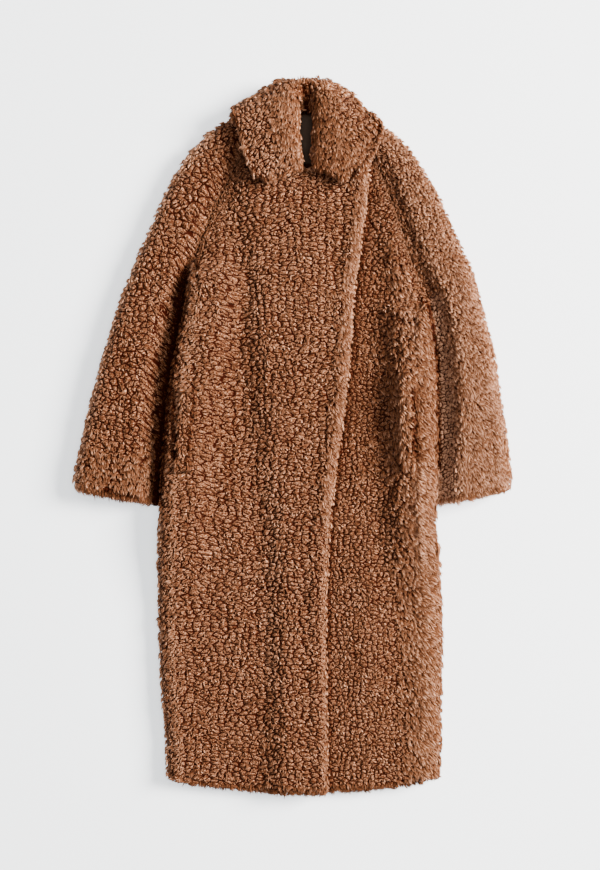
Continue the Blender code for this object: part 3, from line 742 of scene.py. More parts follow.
def strand(row, share, draw):
    """Vertices, faces and (across, along) of each vertex for one tapered strand."""
    path = strand_path(row, share, draw)
    count = len(path) - 1
    heading = np.gradient(path, axis=0)
    heading /= np.linalg.norm(heading, axis=1, keepdims=True)
    across = np.array([0.0, 1.0, 0.0]) - heading * heading[:, 1:2]
    across /= np.linalg.norm(across, axis=1, keepdims=True)
    over = np.cross(heading, across)
    spin = draw.uniform(-0.5, 0.5)
    points, place = [], []
    for k in range(count):
        t = k / count
        belly = 0.72 + 0.45 * math.sin(math.pi * min(t * 1.15, 1.0))
        taper = 1.0 - 0.45 * t ** 3
        radius = row["width"] / 2.0 * belly * taper
        for corner in range(SIDES):
            angle = spin + math.pi / 2.0 + 2.0 * math.pi * corner / SIDES
            points.append(path[k] + radius * (math.cos(angle) * across[k] * FLATNESS
                                              + math.sin(angle) * over[k]))
            place.append((ACROSS[corner], row["lift"] + t * (1.0 - row["lift"])))
    points.append(path[-1])
    place.append((0.0, 1.0))
    faces = []
    for k in range(count - 1):
        for corner in range(SIDES):
            a, b = k * SIDES + corner, k * SIDES + (corner + 1) % SIDES
            faces.append((a, b, b + SIDES, a + SIDES))
    tip = len(points) - 1
    for corner in range(SIDES):
        faces.append(((count - 1) * SIDES + corner, (count - 1) * SIDES + (corner + 1) % SIDES,
                      tip))
    return points, faces, place


def set_fields(data, fields):
    """Adds attributes to a mesh's points: numbers, whole numbers or vectors."""
    for name, values in fields.items():
        values = np.array(values)
        if values.ndim == 2:
            kind, key = "FLOAT_VECTOR", "vector"
        else:
            kind, key = "INT" if values.dtype.kind == "i" else "FLOAT", "value"
        exact = values.astype(np.int32 if kind == "INT" else np.float32)
        data.attributes.new(name, kind, "POINT").data.foreach_set(key, exact.ravel())


def lock(kind, sort):
    """One lock's object, about its root, in metres."""
    row = LOCKS[kind]
    draw = np.random.default_rng(100 * LOCK_ORDER.index(kind) + sort)
    points, faces, places, tones = [], [], [], []
    for k in range(row["strands"]):
        share = -1.0 + 2.0 * (k + draw.uniform(0.25, 0.75)) / row["strands"]
        made, made_faces, made_places = strand(row, share, draw)
        start = len(points)
        points.extend(made)
        places.extend(made_places)
        tones.extend([draw.random()] * len(made))
        faces.extend(tuple(start + corner for corner in face) for face in made_faces)
    high = max(point[2] for point in points)
    for point in points:
        point[2] *= LOCK_HEIGHT / high
    mesh = bpy.data.meshes.new(f"lock_{LOCK_ORDER.index(kind)}{sort}")
    mesh.from_pydata((np.array(points) * MM).tolist(), [], faces)
    corners = np.zeros(len(mesh.loops), int)
    mesh.loops.foreach_get("vertex_index", corners)
    layer = mesh.uv_layers.new(name="strand_map")
    layer.uv.foreach_set("vector", np.array(places, np.float32)[corners].ravel())
    set_fields(mesh, {"strand_tone": tones})
    mesh.shade_smooth()
    return bpy.data.objects.new(mesh.name, mesh)


def lock_collection():
    made = bpy.data.collections.new("locks")
    for kind in LOCK_ORDER:
        for sort in range(SORTS):
            made.objects.link(lock(kind, sort))
    return made


def new_tree(name, sockets):
    """A Geometry Nodes tree, its graph and the wires of its inputs."""
    tree = bpy.data.node_groups.new(name, "GeometryNodeTree")
    face = tree.interface
    for socket, kind in (("Geometry", "Geometry"), *sockets):
        face.new_socket(socket, in_out="INPUT", socket_type="NodeSocket" + kind)
    face.new_socket("Geometry", in_out="OUTPUT", socket_type="NodeSocketGeometry")
    g = Graph(tree)
    entry = tree.nodes.new("NodeGroupInput")
    return tree, g, {socket.name: Wire(g, socket) for socket in entry.outputs if socket.name}


def finished(tree, g, given, geometry, position):
    """Ends a tree: moves its points, none below the floor, and gives them their material."""
    parts = {axis: g.axis(position, axis) for axis in "XYZ"}
    low = parts["Z"].math("MAXIMUM", parts["Z"], given["Floor"])
    placed = g.node("GeometryNodeSetPosition", None, {
        "Geometry": geometry, "Position": g.node("ShaderNodeCombineXYZ", None, {
            "X": parts["X"], "Y": parts["Y"], "Z": low})})
    dressed = g.node("GeometryNodeSetMaterial", None, {
        "Geometry": placed, "Material": given["Finish"]})
    leave = tree.nodes.new("NodeGroupOutput")
    tree.links.new(dressed.socket, leave.inputs[0])
    return tree


def named(g, name, kind):
    return g.node("GeometryNodeInputNamedAttribute", {"data_type": kind}, {"Name": name})


def planting_tree():
    """Geometry nodes that stand a lock on each point."""
    tree, g, given = new_tree("planting", (
        ("Locks", "Collection"), ("Turn", "Float"), ("Lean", "Float"), ("Floor", "Float"),
        ("Seed", "Int"), ("Finish", "Material")))
    locks = g.node("GeometryNodeCollectionInfo", None, {
        "Collection": given["Locks"], "Separate Children": True, "Reset Children": True})
    stance = g.node("FunctionNodeAxesToRotation", {"primary_axis": "Z", "secondary_axis": "X"}, {
        "Primary Axis": named(g, "up", "FLOAT_VECTOR"),
        "Secondary Axis": named(g, "nap", "FLOAT_VECTOR")})
    unruly = named(g, "unruly", "FLOAT")

    def wobble(limit, seed_shift):
        draw = g.node("FunctionNodeRandomValue", {"data_type": "FLOAT"}, {
            "Min_001": -1.0, "Max_001": 1.0, "Seed": given["Seed"] + seed_shift}, "Value_001")
        return draw * limit * unruly

    turn = g.node("FunctionNodeEulerToRotation", None, {"Euler": g.node(
        "ShaderNodeCombineXYZ", None, {"X": wobble(given["Lean"], 1),
                                       "Y": wobble(given["Lean"], 2),
                                       "Z": wobble(given["Turn"], 3)})})
    stance = g.node("FunctionNodeRotateRotation", {"rotation_space": "LOCAL"}, {
        "Rotation": stance, "Rotate By": turn})
    planted = g.node("GeometryNodeInstanceOnPoints", None, {
        "Points": given["Geometry"], "Instance": locks, "Pick Instance": True,
        "Instance Index": named(g, "kind", "INT"), "Rotation": stance,
        "Scale": named(g, "size", "FLOAT_VECTOR")})
    solid = g.node("GeometryNodeRealizeInstances", None, {"Geometry": planted})
    return finished(tree, g, given, solid, g.node("GeometryNodeInputPosition"))


SUNK_DOME = 2.6                # as DOME, for the relief
SUNK = dict(own=0.3, even=0.1)  # of the cracks' depth, by which whole curls lie lower


def relief_tree():
    """Geometry nodes that sink the cracks between curls into a panel's skin."""
    tree, g, given = new_tree("relief", (("Floor", "Float"), ("Finish", "Material")))
    edge, own = curl_pattern(g, named(g, "curl_at", "FLOAT_VECTOR"))
    flank = 1.0 - edge.math("MINIMUM", edge * SUNK_DOME, 1.0)
    sink = (named(g, "depth", "FLOAT") * (flank * flank + own * SUNK["own"] + SUNK["even"])
            + named(g, "combed", "FLOAT") * COMBED_SINK)
    offset = g.vector("SCALE", g.node("GeometryNodeInputNormal"), sink)
    moved = g.vector("SUBTRACT", g.node("GeometryNodeInputPosition"), offset)
    return finished(tree, g, given, given["Geometry"], moved)


def applied(holder, name):
    """The mesh that an object's modifiers give; the object goes."""
    bpy.context.view_layer.update()
    graph = bpy.context.evaluated_depsgraph_get()
    data = bpy.data.meshes.new_from_object(holder.evaluated_get(graph), depsgraph=graph)
    bpy.data.objects.remove(holder)
    data.name = name
    return data


def evaluated(data, name, tree, settings):
    """A plain mesh object: the result of a node tree on a mesh, with no modifier left on it."""
    holder = in_scene(name + "_source", data)
    modifier = holder.modifiers.new("nodes", "NODES")
    modifier.node_group = tree
    for item in tree.interface.items_tree:
        if item.in_out == "INPUT" and item.name in settings:
            modifier[item.identifier] = settings[item.name]
    return in_scene(name, applied(holder, name))


LOWEST = 0.4 * MM              # over the floor, of all pile
TURN, LEAN = 0.9, 0.35         # of the most unruly locks, in radians
PLANTING_SEED = 5
PLANTING_FIELDS = ("up", "nap", "size", "unruly", "kind")


def plant(name, spots, locks, tree, finish):
    """One piece of loose strands, planted on its spots."""
    cloud = bpy.data.meshes.new("spots")
    cloud.from_pydata([spot["root"] for spot in spots], [], [])
    set_fields(cloud, {field: [spot[field] for spot in spots]
                       for field in (*PLANTING_FIELDS, "lock_tone")})
    piece = evaluated(cloud, name, tree, {
        "Locks": locks, "Turn": TURN, "Lean": LEAN, "Floor": LOWEST, "Seed": PLANTING_SEED,
        "Finish": finish})
    for field in PLANTING_FIELDS:
        if field in piece.data.attributes:
            piece.data.attributes.remove(piece.data.attributes[field])
    return piece


# ---------------------------------------------------------------- how the pile lies

# Places on the coat, in millimetres, and how the locks lie there: the way that their tips
# point (degrees from +X), how combed out they are (0 curled, 1 combed), their size, tone and
# how unruly they are. A lock blends the rows of its panel that are nearest.
LIE = ("way", "combed", "size", "tone", "unruly")
NAP_BLEND = 4e-4                # square metres; more blends the rows more evenly
NAP = dict(
    front_right=[
        ((-20, 400), -95, 0.05, 1.0, 0.5, 0.5),
        ((-90, 330), -100, 0.05, 1.0, 0.5, 0.5),
        ((20, 200), -88, 0.05, 1.1, 0.55, 0.5),
        ((-120, 100), -98, 0.1, 1.05, 0.5, 0.45),
        ((0, -50), -88, 0.0, 1.1, 0.5, 0.35),
        ((-150, -150), -100, 0.05, 0.95, 0.5, 0.3),
        ((-50, -350), -90, 0.0, 1.05, 0.5, 0.3),
        ((-150, -500), -98, 0.05, 1.0, 0.5, 0.35),
        ((0, -540), -86, 0.1, 1.0, 0.5, 0.4),
        ((-195, 100), -135, 0.1, 1.0, 0.6, 0.5),
        ((-205, -300), -130, 0.1, 1.0, 0.6, 0.5),
    ],
    front_left=[
        ((160, 400), -70, 0.15, 0.9, 0.4, 0.6),
        ((130, 250), -80, 0.1, 0.9, 0.25, 0.8),
        ((200, 250), -60, 0.4, 1.0, 0.6, 0.6),
        ((120, 60), -85, 0.1, 1.0, 0.3, 0.8),
        ((200, 60), -60, 0.5, 1.1, 0.5, 0.6),
        ((135, -150), -80, 0.05, 1.0, 0.45, 0.6),
        ((226, -150), -50, 0.6, 1.0, 0.6, 0.5),
        ((140, -350), -85, 0.0, 1.0, 0.5, 0.5),
        ((232, -350), -45, 0.65, 1.0, 0.65, 0.5),
        ((140, -530), -88, 0.05, 1.0, 0.5, 0.45),
        ((232, -530), -60, 0.5, 1.0, 0.6, 0.5),
    ],
    back=[
        ((-225, 150), -140, 0.25, 0.95, 0.4, 0.5),
        ((-225, -200), -150, 0.25, 0.95, 0.45, 0.5),
        ((-215, -540), -130, 0.25, 0.95, 0.5, 0.5),
        ((240, 150), -50, 0.7, 1.0, 0.6, 0.5),
        ((250, -200), -38, 0.8, 1.1, 0.65, 0.45),
        ((250, -540), -50, 0.7, 1.1, 0.65, 0.45),
    ],
    sleeve_right=[
        ((-120, 470), -140, 0.1, 0.85, 0.45, 0.6),
        ((-200, 330), -110, 0.05, 0.9, 0.45, 0.6),
        ((-260, 180), -105, 0.05, 0.95, 0.4, 0.55),
        ((-300, 20), -100, 0.1, 0.95, 0.4, 0.5),
        ((-300, -70), -95, 0.3, 1.0, 0.45, 0.5),
        ((-300, -110), -92, 0.9, 1.05, 0.75, 0.5),
    ],
    sleeve_left=[
        ((170, 480), -45, 0.32, 0.68, 0.95, 0.6),
        ((230, 380), -50, 0.47, 0.72, 1.0, 0.6),
        ((250, 230), -60, 0.52, 0.72, 0.9, 0.7),
        ((310, 230), -38, 0.92, 0.76, 1.2, 0.45),
        ((268, 60), -75, 0.62, 0.76, 0.9, 0.6),
        ((335, 60), -42, 1.00, 0.80, 1.2, 0.35),
        ((280, -90), -80, 0.72, 0.84, 1.0, 0.5),
        ((345, -90), -50, 1.00, 0.84, 1.2, 0.4),
    ],
    collar=[
        ((0, 560), -100, 0.6, 0.95, 0.6, 0.4),
        ((0, 490), -92, 0.5, 0.95, 0.65, 0.4),
        ((-70, 540), -150, 0.15, 0.85, 0.95, 0.6),
        ((-50, 460), -110, 0.1, 1.2, 1.05, 0.6),
        ((44, 540), -88, 0.5, 0.85, 0.25, 0.6),
        ((52, 480), -86, 0.5, 0.85, 0.25, 0.6),
        ((110, 550), -40, 0.2, 0.85, 0.55, 0.6),
        ((120, 470), -60, 0.4, 1.0, 0.5, 0.5),
        ((24, 600), 90, 0.4, 0.9, 0.85, 0.6),
    ],
)
NAP["pocket_welt_right"] = NAP["front_right"]
NAP["pocket_welt_left"] = NAP["front_left"]

FRONT_EDGE = [(60, -600), (58, -480), (57, -254), (65, -140), (74, -62), (86, 16), (94, 94),
              (101, 162), (105, 239), (120, 346), (128, 422), (130, 450)]
LEFT_RAGLAN = [(119, 516), (133, 492), (161, 426), (188, 346), (203, 300), (229, 234)]
RIGHT_RAGLAN = [(-70, 516), (-81, 492), (-108, 434), (-142, 363), (-169, 295)]
RIGHT_ARMPIT = [(-169, 300), (-178, 270), (-186, 240)]
RIGHT_VALLEY = [(-181, 278), (-196, 190), (-212, 94), (-222, 0), (-231, -110)]
RIGHT_SIDE = [(-158, 240), (-173, 160), (-187, 80), (-195, 0), (-202, -120), (-206, -240),
              (-203, -400), (-194, -520), (-192, -590)]
LEFT_SIDE = [(208, 120), (208, -120), (213, -200), (218, -340), (216, -480), (216, -590)]
RIGHT_FOLD = RIGHT_RAGLAN + RIGHT_VALLEY + [(-228, -240), (-214, -590)]

# Bands that change the lie along a line: the panels that they change, how far they reach, the
# lie on the line itself and the line's points, in millimetres.
# Many bands paint light or shade through their tone, as noted at each.
BANDS = {
    "front edge": (("front_right",), 30, (-38, 1.1, 0.66, 1.1, 0.35), FRONT_EDGE[3:]),
    "front edge's foot": (("front_right",), 16, (-60, 0.15, 0.85, 0.8, 0.6), FRONT_EDGE[:4]),
    # Painted shade under the overlap of the front edge.
    "under the front edge": (("front_left",), 30, (-88, 0.0, 0.85, 0.05, 0.9),
        [(76, -62), (88, 16), (96, 94), (103, 162), (107, 239), (122, 346), (130, 450)]),
    "hem": (("front_right", "front_left", "back"), 14, (-90, 0.5, 0.85, 0.5, 0.6),
        [(-207, -600), (226, -600)]),
    # Painted shade in the groove at the top of the collar's slit.
    "collar top": (("collar",), 11, (-92, 0.2, 0.7, -1.4, 0.5), [(20, 588), (24, 552)]),
    "collar's right corner": (("collar",), 24, (-110, 0.1, 0.7, 0.8, 0.4),
        [(-84, 462), (-62, 442)]),
    "right cuff": (("sleeve_right",), 30, (-92, 0.95, 1.0, 0.85, 0.5),
        [(-371, -118), (-240, -112)]),
    # Painted shade at the cuff's mouth.
    "right cuff's mouth": (("sleeve_right",), 7, (-92, 0.3, 0.6, -3.4, 0.5),
        [(-318, -92), (-292, -97), (-262, -103)]),
    # Painted light that lifts the cuff out of its shade.
    "left cuff": (("sleeve_left",), 22, (-75, 0.7, 0.95, 1.4, 0.6), [(262, -112), (371, -118)]),
    "left raglan": (("sleeve_left", "front_left"), 24, (-110, 0.0, 0.8, 0.35, 1.0), LEFT_RAGLAN),
    # Painted light on the sleeve's flank that is turned from the lamp.
    "left sleeve's inner side": (("sleeve_left",), 26, (-110, 0.0, 0.8, 2.3, 1.0),
        [(238, 226), (254, 120), (260, 20), (264, -100)]),
    # Painted shade in the valley between the sleeve and the body.
    "left valley": (("sleeve_left", "back"), 7, (-95, 0.1, 0.8, -2.0, 0.9),
        [(228, 240), (247, 130), (249, 0), (249, -50)]),
    "right sleeve's outer side": (("sleeve_right",), 20, (-115, 0.2, 0.85, 1.7, 0.7),
        [(-140, 515), (-204, 440), (-242, 360), (-276, 280), (-306, 200), (-330, 120), (-349, 40),
         (-366, -40), (-372, -110)]),
    "right side's outline": (("back",), 17, (-130, 0.2, 0.9, 1.7, 0.6),
        [(-228, -140), (-226, -320), (-215, -600)]),
    "right raglan": (("sleeve_right", "front_right"), 16, (-110, 0.1, 0.8, 0.25, 0.8),
        RIGHT_RAGLAN),
    # Painted light on the body's flank beside the sleeve.
    "right side": (("front_right", "back"), 34, (-142, 0.2, 1.0, 0.8, 0.5),
        [(-168, 280), (-180, 120), (-206, -60), (-212, -300), (-190, -600)]),
    "slit's right side": (("collar",), 12, (-64, 0.8, 0.9, 0.45, 0.4),
        [(12, 575), (13, 530), (15, 452)]),
    "slit's left side": (("collar",), 12, (-116, 0.7, 0.9, -0.1, 0.5),
        [(36, 575), (38, 530), (40, 452)]),
    # Painted shade in the valley between the sleeve and the body.
    "right valley": (("sleeve_right", "back", "front_right"), 13, (-110, 0.1, 0.8, -2.4, 0.8),
        RIGHT_VALLEY),
    # Painted light on the shaded flank of the chest fold.
    "chest fold": (("front_right",), 18, (-95, 0.0, 1.0, 0.7, 0.5), [(-66, 300), (-60, 170)]),
    # Painted light on the shaded flank of the lower fold.
    "lower fold": (("front_right",), 20, (-95, 0.0, 1.0, 0.9, 0.5), [(-34, -60), (-36, -420)]),
    "front edge's shadow": (("front_left",), 9, (-85, 0.0, 0.8, -0.9, 0.8),
        [(x + 3, y) for x, y in FRONT_EDGE]),
    # Painted shade along the pocket's opening.
    "left pocket": (("front_left", "back", "pocket_welt_left"), 9, (-85, 0.1, 0.8, -1.2, 0.8),
        [(205, 86), (208, -33)]),
    # Painted shade along the welt's edge.
    "right welt's edge": (("pocket_welt_right",), 7, (-100, 0.1, 0.8, -0.8, 0.8),
        [(-160, 106), (-164, 60), (-171, 10), (-175, -54)]),
    "hem's left corner": (("front_left", "back"), 17, (-90, 0.5, 0.42, 0.6, 0.15),
        [(211, -590), (226, -587)]),
    # Painted shade along the pocket's opening.
    "right pocket": (("front_right", "back", "pocket_welt_right"), 6, (-100, 0.1, 0.8, -1.2, 0.8),
        [(-201, 64), (-200, -35)]),
}

# Fringes: rows of small locks beside a line, in place of the panel's own rows there. Panel,
# offsets of the rows towards the line's left as it runs, spacing along it, the width that they
# take up, and the line.
FRINGES = [
    ("front_right", (1.5, 6.0, 10.5, 15.0, 20.0), 6.0, 21.0, FRONT_EDGE[3:]),
    ("front_right", (1.0, 4.5), 5.0, 5.0, FRONT_EDGE[:4]),
    ("sleeve_left", (1.0, 4.0), 4.5, 4.0, LEFT_RAGLAN),
    ("front_left", (-1.0, -4.0), 4.5, 4.0, LEFT_RAGLAN),
    ("sleeve_right", (-1.0, -4.0), 4.5, 4.0, RIGHT_RAGLAN),
    ("front_right", (1.0, 4.0), 4.5, 4.0, RIGHT_RAGLAN),
    ("sleeve_right", (-1.0, -4.0), 3.0, 3.0, RIGHT_ARMPIT),
    ("front_right", (1.0, 4.0), 3.0, 3.0, RIGHT_ARMPIT),
    ("front_right", (1.0, 4.0), 6.0, 4.0, RIGHT_SIDE),
    ("back", (-1.0, -4.0), 6.0, 4.0, RIGHT_SIDE),
    ("front_left", (-1.0, -4.0), 6.0, 4.0, LEFT_SIDE),
    ("back", (1.0, 4.0), 6.0, 4.0, LEFT_SIDE),
    ("collar", (-1.0, -4.0), 3.5, 3.0, [(14, 560), (15, 452)]),
    ("collar", (1.0, 4.0), 3.5, 3.0, [(37, 560), (39, 452)]),
]

# Spacing of the locks along a row and from row to row, and how far they stray, of it.
PITCH = dict(back=(6.0, 5.4), front_right=(6.2, 5.8), front_left=(6.0, 5.4),
             sleeve_right=(6.2, 5.6), sleeve_left=(5.4, 5.0), collar=(5.8, 5.4),
             pocket_welt_right=(6.0, 5.4), pocket_welt_left=(6.0, 5.4))
ROW_STRAY = 0.4
FRINGE_STRAY = 1.6              # of the fringes' locks, in millimetres
LYING = 0.55                    # faces flatter than this take rows from above
STEEP_PITCH = 7.0 * MM
DARTS = 6.0                     # tries for each place on steep faces
SLIVER = 1e-9                   # square metres; smaller faces take none
COVERED = 2.0 * MM              # no lock stands on a wall with another piece this near
RAY_HEIGHT = 20.0 * MM          # above the coat, of the rays that look for places
SPOT_SEED = 7

# Lower edges: how far up they are looked for, and the locks that hang over them, whose length
# comes and goes in a wave that drifts along a slower one.
HEMS = dict(back=-560, front_right=-560, front_left=-560, sleeve_right=-84, sleeve_left=-84)
HEM_SPACING = 3.4 * MM
HEM_STRAY = (0.5, 5.0)          # up from the edge, in millimetres
SCALLOP = 0.3                   # share by which their length comes and goes
SCALLOP_WIDTH, SCALLOP_DRIFT, DRIFT_WIDTH = 2.9, 2.5, 17.0   # in millimetres and radians
LONGEST_HANGING = 1.1           # of their kind's length

# Which lock stands on a spot, and how.
CURLY = 0.32                    # pile combed less than this is curls with few loose strands
CURLY_SHARE = 0.22              # of the places on curls that have a lock
FLAME = 0.7                     # pile combed less than this, but not curly, is flames
COMBED_STRAY, TONE_STRAY = 0.1, 0.16
SIZES, WIDTHS = (0.75, 1.25), (0.9, 1.1)       # as shares of the spot's size
UNDER_COVER = 0.6               # height of locks with another piece close over them
SHORT_NAP = 0.5                 # a nap that a wall leaves shorter turns downhill
DOWNHILL = (0.0, -0.4, -0.6)

# The curly skin of a panel.
CRACK_DEPTH = 4.6 * MM
PRESSED_CRACK = 1.4 * MM        # on the underside
COMBED_CRACK = 0.5              # share of the depth that combing takes away
STEEP_CRACK = 0.4               # share of the depth that is left on upright walls
COMBED_SINK = 1.6 * MM          # of the skin under combed strands
PATTERN_SHIFT = 31.0            # of the pattern from panel to panel, in curls
SLIDE = (0.5, 0.6)              # of the pattern along X and Y, for each unit of height
SLANT = 0.65                    # of rows beside the fold at the right sleeve
SLANT_REACH = 32.0 * MM
RIPPLE = 1.4 * MM               # height of the finest wave in the rows
TINY = 1e-12                    # keeps a division from dividing by nothing


def joined(forms):
    """One BVH of every panel's outer faces, with owners and smooth normals."""
    points, normals, faces, owners = [], [], [], []
    start = 0
    for name, form in forms.items():
        points.append(form["points"])
        normals.append(form["normals"])
        faces.append(form["faces"] + start)
        owners += [name] * len(form["faces"])
        start += len(form["points"])
    points, normals, faces = (np.concatenate(x) for x in (points, normals, faces))
    tree = BVHTree.FromPolygons([Vector(p) for p in points], faces.tolist())
    return dict(tree=tree, points=points, normals=normals, faces=faces, owners=owners)


def smooth_normal(skin, index, at):
    """The blend of a face's corner normals at a point on it, and one of them on a sliver."""
    corners = skin["faces"][index]
    a, b, c = skin["points"][corners]
    u, v, w = b - a, c - a, np.array(at) - a
    uu, uv, vv, wu, wv = u.dot(u), u.dot(v), v.dot(v), w.dot(u), w.dot(v)
    scale = uu * vv - uv * uv
    if scale < TINY * MM * MM:
        return skin["normals"][corners[0]]
    s, t = (vv * wu - uv * wv) / scale, (uu * wv - uv * wu) / scale
    share = np.clip([1.0 - s - t, s, t], 0.0, 1.0)
    normal = share @ skin["normals"][corners]
    return normal / np.linalg.norm(normal)


def distance_to(line, places):
    """From places in metres to a line of points in millimetres."""
    points = np.array(line) * MM
    best = np.full(len(places), math.inf)
    for start, end in zip(points[:-1], points[1:]):
        step = end - start
        along = np.clip((places - start) @ step / step.dot(step), 0.0, 1.0)
        gap = places - start - along[:, None] * step
        best = np.minimum(best, np.hypot(gap[:, 0], gap[:, 1]))
    return best


def lies(panel, places):
    """Blend of the nearest rows of a panel's nap table, and of its bands, at many places."""
    at, ways, *others = zip(*NAP[panel])
    gaps = ((places[:, None] - np.array(at) * MM) ** 2).sum(2)
    weight = 1.0 / (gaps + NAP_BLEND) ** 2
    weight /= weight.sum(1, keepdims=True)
    ways = np.radians(ways)
    lie = {key: weight @ np.array(column) for key, column in zip(LIE[1:], others)}
    lie["way"] = np.arctan2(weight @ np.sin(ways), weight @ np.cos(ways))
    for panels, reach, goals, line in BANDS.values():
        if panel not in panels:
            continue
        share = np.clip(1.0 - distance_to(line, places) / (reach * MM), 0.0, 1.0)
        share = share * share * (3.0 - 2.0 * share)
        for key, goal in zip(LIE, goals):
            lie[key] += share * ((math.radians(goal) if key == "way" else goal) - lie[key])
    return lie


def spot_at(panel, at, up, lie, sort, draw):
    """A lock's row for a place on the solid's outer face, and None where no lock stands."""
    nap = np.array([math.cos(lie["way"]), math.sin(lie["way"]), 0.0])
    nap -= up * nap.dot(up)
    if np.linalg.norm(nap) < SHORT_NAP:
        nap += np.array(DOWNHILL)
        nap -= up * nap.dot(up)
    nap /= np.linalg.norm(nap)
    combed = lie["combed"] + draw.normal(0.0, COMBED_STRAY)
    if sort == "steep":
        kind = "tuft"
    elif sort == "hem":
        kind = "hanging"
    elif combed < CURLY:
        kind = "curl"
        if sort == "rows" and draw.random() > CURLY_SHARE:
            return None
    else:
        kind = "flame" if combed < FLAME else "combed"
    size = lie["size"] * draw.uniform(*SIZES)
    if sort == "hem":
        place = at[0] / MM
        drift = SCALLOP_DRIFT * math.sin(place / DRIFT_WIDTH)
        size *= 1.0 + SCALLOP * math.sin(place / SCALLOP_WIDTH + drift)
        size = min(size, LONGEST_HANGING)
    depth = draw.uniform(*LOCKS[kind]["depth"]) * MM
    height = (depth + draw.uniform(*LOCKS[kind]["proud"]) * MM) / (LOCK_HEIGHT * MM)
    if faces_another(panel, Vector(at), Vector(up), PRESS_REACH):
        height *= UNDER_COVER
    # lock_tone carries the bands' painted light and shade along with random tone.
    return dict(panel=panel, root=tuple(at - up * depth), up=tuple(up), nap=tuple(nap),
                kind=LOCK_ORDER.index(kind) * SORTS + int(draw.integers(SORTS)),
                size=(size, size * draw.uniform(*WIDTHS), height), unruly=lie["unruly"],
                lock_tone=lie["tone"] + draw.normal(0.0, TONE_STRAY))


def sway(at, aside, height, width, drift, slow):
    """A wave whose crests drift along a slower one; its sizes are millimetres."""
    return height * MM * np.sin(at / (width * MM) + drift * np.sin(aside / (slow * MM)))


def waved(x, y):
    """Where a place of a straight row comes to lie in the wavy rows of the pile.

    On both sides of the fold between the right sleeve and the body the rows slant towards it.
    """
    fold = np.array(sorted(RIGHT_FOLD, key=lambda at: at[1])) * MM
    gap = np.abs(x - np.interp(y, fold[:, 1], fold[:, 0]))
    y = y + SLANT * SLANT_REACH * np.exp(-gap / SLANT_REACH)
    return (x + sway(y, x, height=2.6, width=17.0, drift=2.0, slow=90.0),
            y + sway(x, y, height=3.4, width=24.0, drift=2.2, slow=75.0)
            + RIPPLE * np.sin(x / (9.0 * MM) + y / (31.0 * MM)))


def outer_form(name):
    """Outer faces of a panel's solid with smooth normals, for spots and for its skin."""
    mesh = merged(name)
    sides = sides_of(mesh, name, PANELS[name]["faces"])
    tree = BVHTree.FromBMesh(mesh)
    points = np.array([vertex.co for vertex in mesh.verts])
    normals = np.zeros(points.shape)
    bearing = [face for face in mesh.faces if sides[face.index] in (OUTER, RIM)]
    for face in bearing:
        for vertex in face.verts:
            normals[vertex.index] += face.normal * face.calc_area()
    normals /= np.maximum(np.linalg.norm(normals, axis=1, keepdims=True), TINY)
    faces = np.array([[vertex.index for vertex in face.verts] for face in bearing])
    source = bpy.data.meshes.new("solid_" + name)
    mesh.to_mesh(source)
    mesh.free()
    return dict(points=points, normals=normals, faces=faces, tree=tree, sides=sides,
                source=source)


def even_skin(name, form):
    """A panel's outer face in even small faces, lifted by its creases, as a mesh."""
    holder = in_scene("even_" + name, form["source"])
    modifier = holder.modifiers.new("even", "REMESH")
    modifier.mode = "VOXEL"
    modifier.voxel_size = PANELS[name]["grain"] * MM
    even = applied(holder, "skin_" + name)
    mesh = bmesh.new()
    mesh.from_mesh(even)
    inside = [face for face in mesh.faces if form["sides"][
        form["tree"].find_nearest(face.calc_center_median())[2]] == INNER]
    bmesh.ops.delete(mesh, geom=inside, context="FACES")
    points = np.array([vertex.co for vertex in mesh.verts])
    normals = np.array([vertex.normal for vertex in mesh.verts])
    for vertex, lift in zip(mesh.verts, creased(points, normals)):
        vertex.co.z += lift
    mesh.to_mesh(even)
    mesh.free()
    return even, points, normals


def pile_skin(name, form, tree, finish):
    """The curly face of a panel: its even skin, sunk along the cracks between curls."""
    even, points, normals = even_skin(name, form)
    lie = lies(name, points[:, :2])
    wide, high = PANELS[name]["curl"]
    x, y = waved(points[:, 0], points[:, 1])
    shift = PATTERN_SHIFT * list(PANELS).index(name)
    rise = points[:, 2]
    curl_at = np.column_stack([(x + SLIDE[0] * rise) / (wide * MM) + shift,
                               (y - SLIDE[1] * rise) / (high * MM), rise / (high * MM)])
    depth = CRACK_DEPTH * (1.0 - COMBED_CRACK * np.clip(lie["combed"], 0.0, 1.0))
    depth *= STEEP_CRACK + (1.0 - STEEP_CRACK) * np.abs(normals[:, 2])
    depth = np.where(normals[:, 2] < -0.5, PRESSED_CRACK, depth)
    # tone carries the bands' painted light and shade along with the pile's own tone.
    set_fields(even, dict(curl_at=curl_at, tone=lie["tone"], combed=lie["combed"], depth=depth))
    even.shade_smooth()
    piece = evaluated(even, "pile_" + name, tree, {"Floor": LOWEST, "Finish": finish})
    piece.data.shade_smooth()
    return piece


def in_fringe(panel, x, y):
    return any(owner == panel
               and distance_to(line, np.array([[x, y]]))[0] < width * MM
               for owner, _, _, width, line in FRINGES)


def spot_below(skin, panel, x, y, lying=False):
    """Panel, point and normal straight below a place, and None where another panel is.

    With lying set, steep faces have none either.
    """
    hit, normal, index, _ = skin["tree"].ray_cast(
        Vector((x, y, CAD_BOX[1][2] + RAY_HEIGHT)), Vector((0.0, 0.0, -1.0)))
    if hit is None or skin["owners"][index] != panel or (lying and normal.z <= LYING):
        return None
    return panel, np.array(hit), smooth_normal(skin, index, hit)


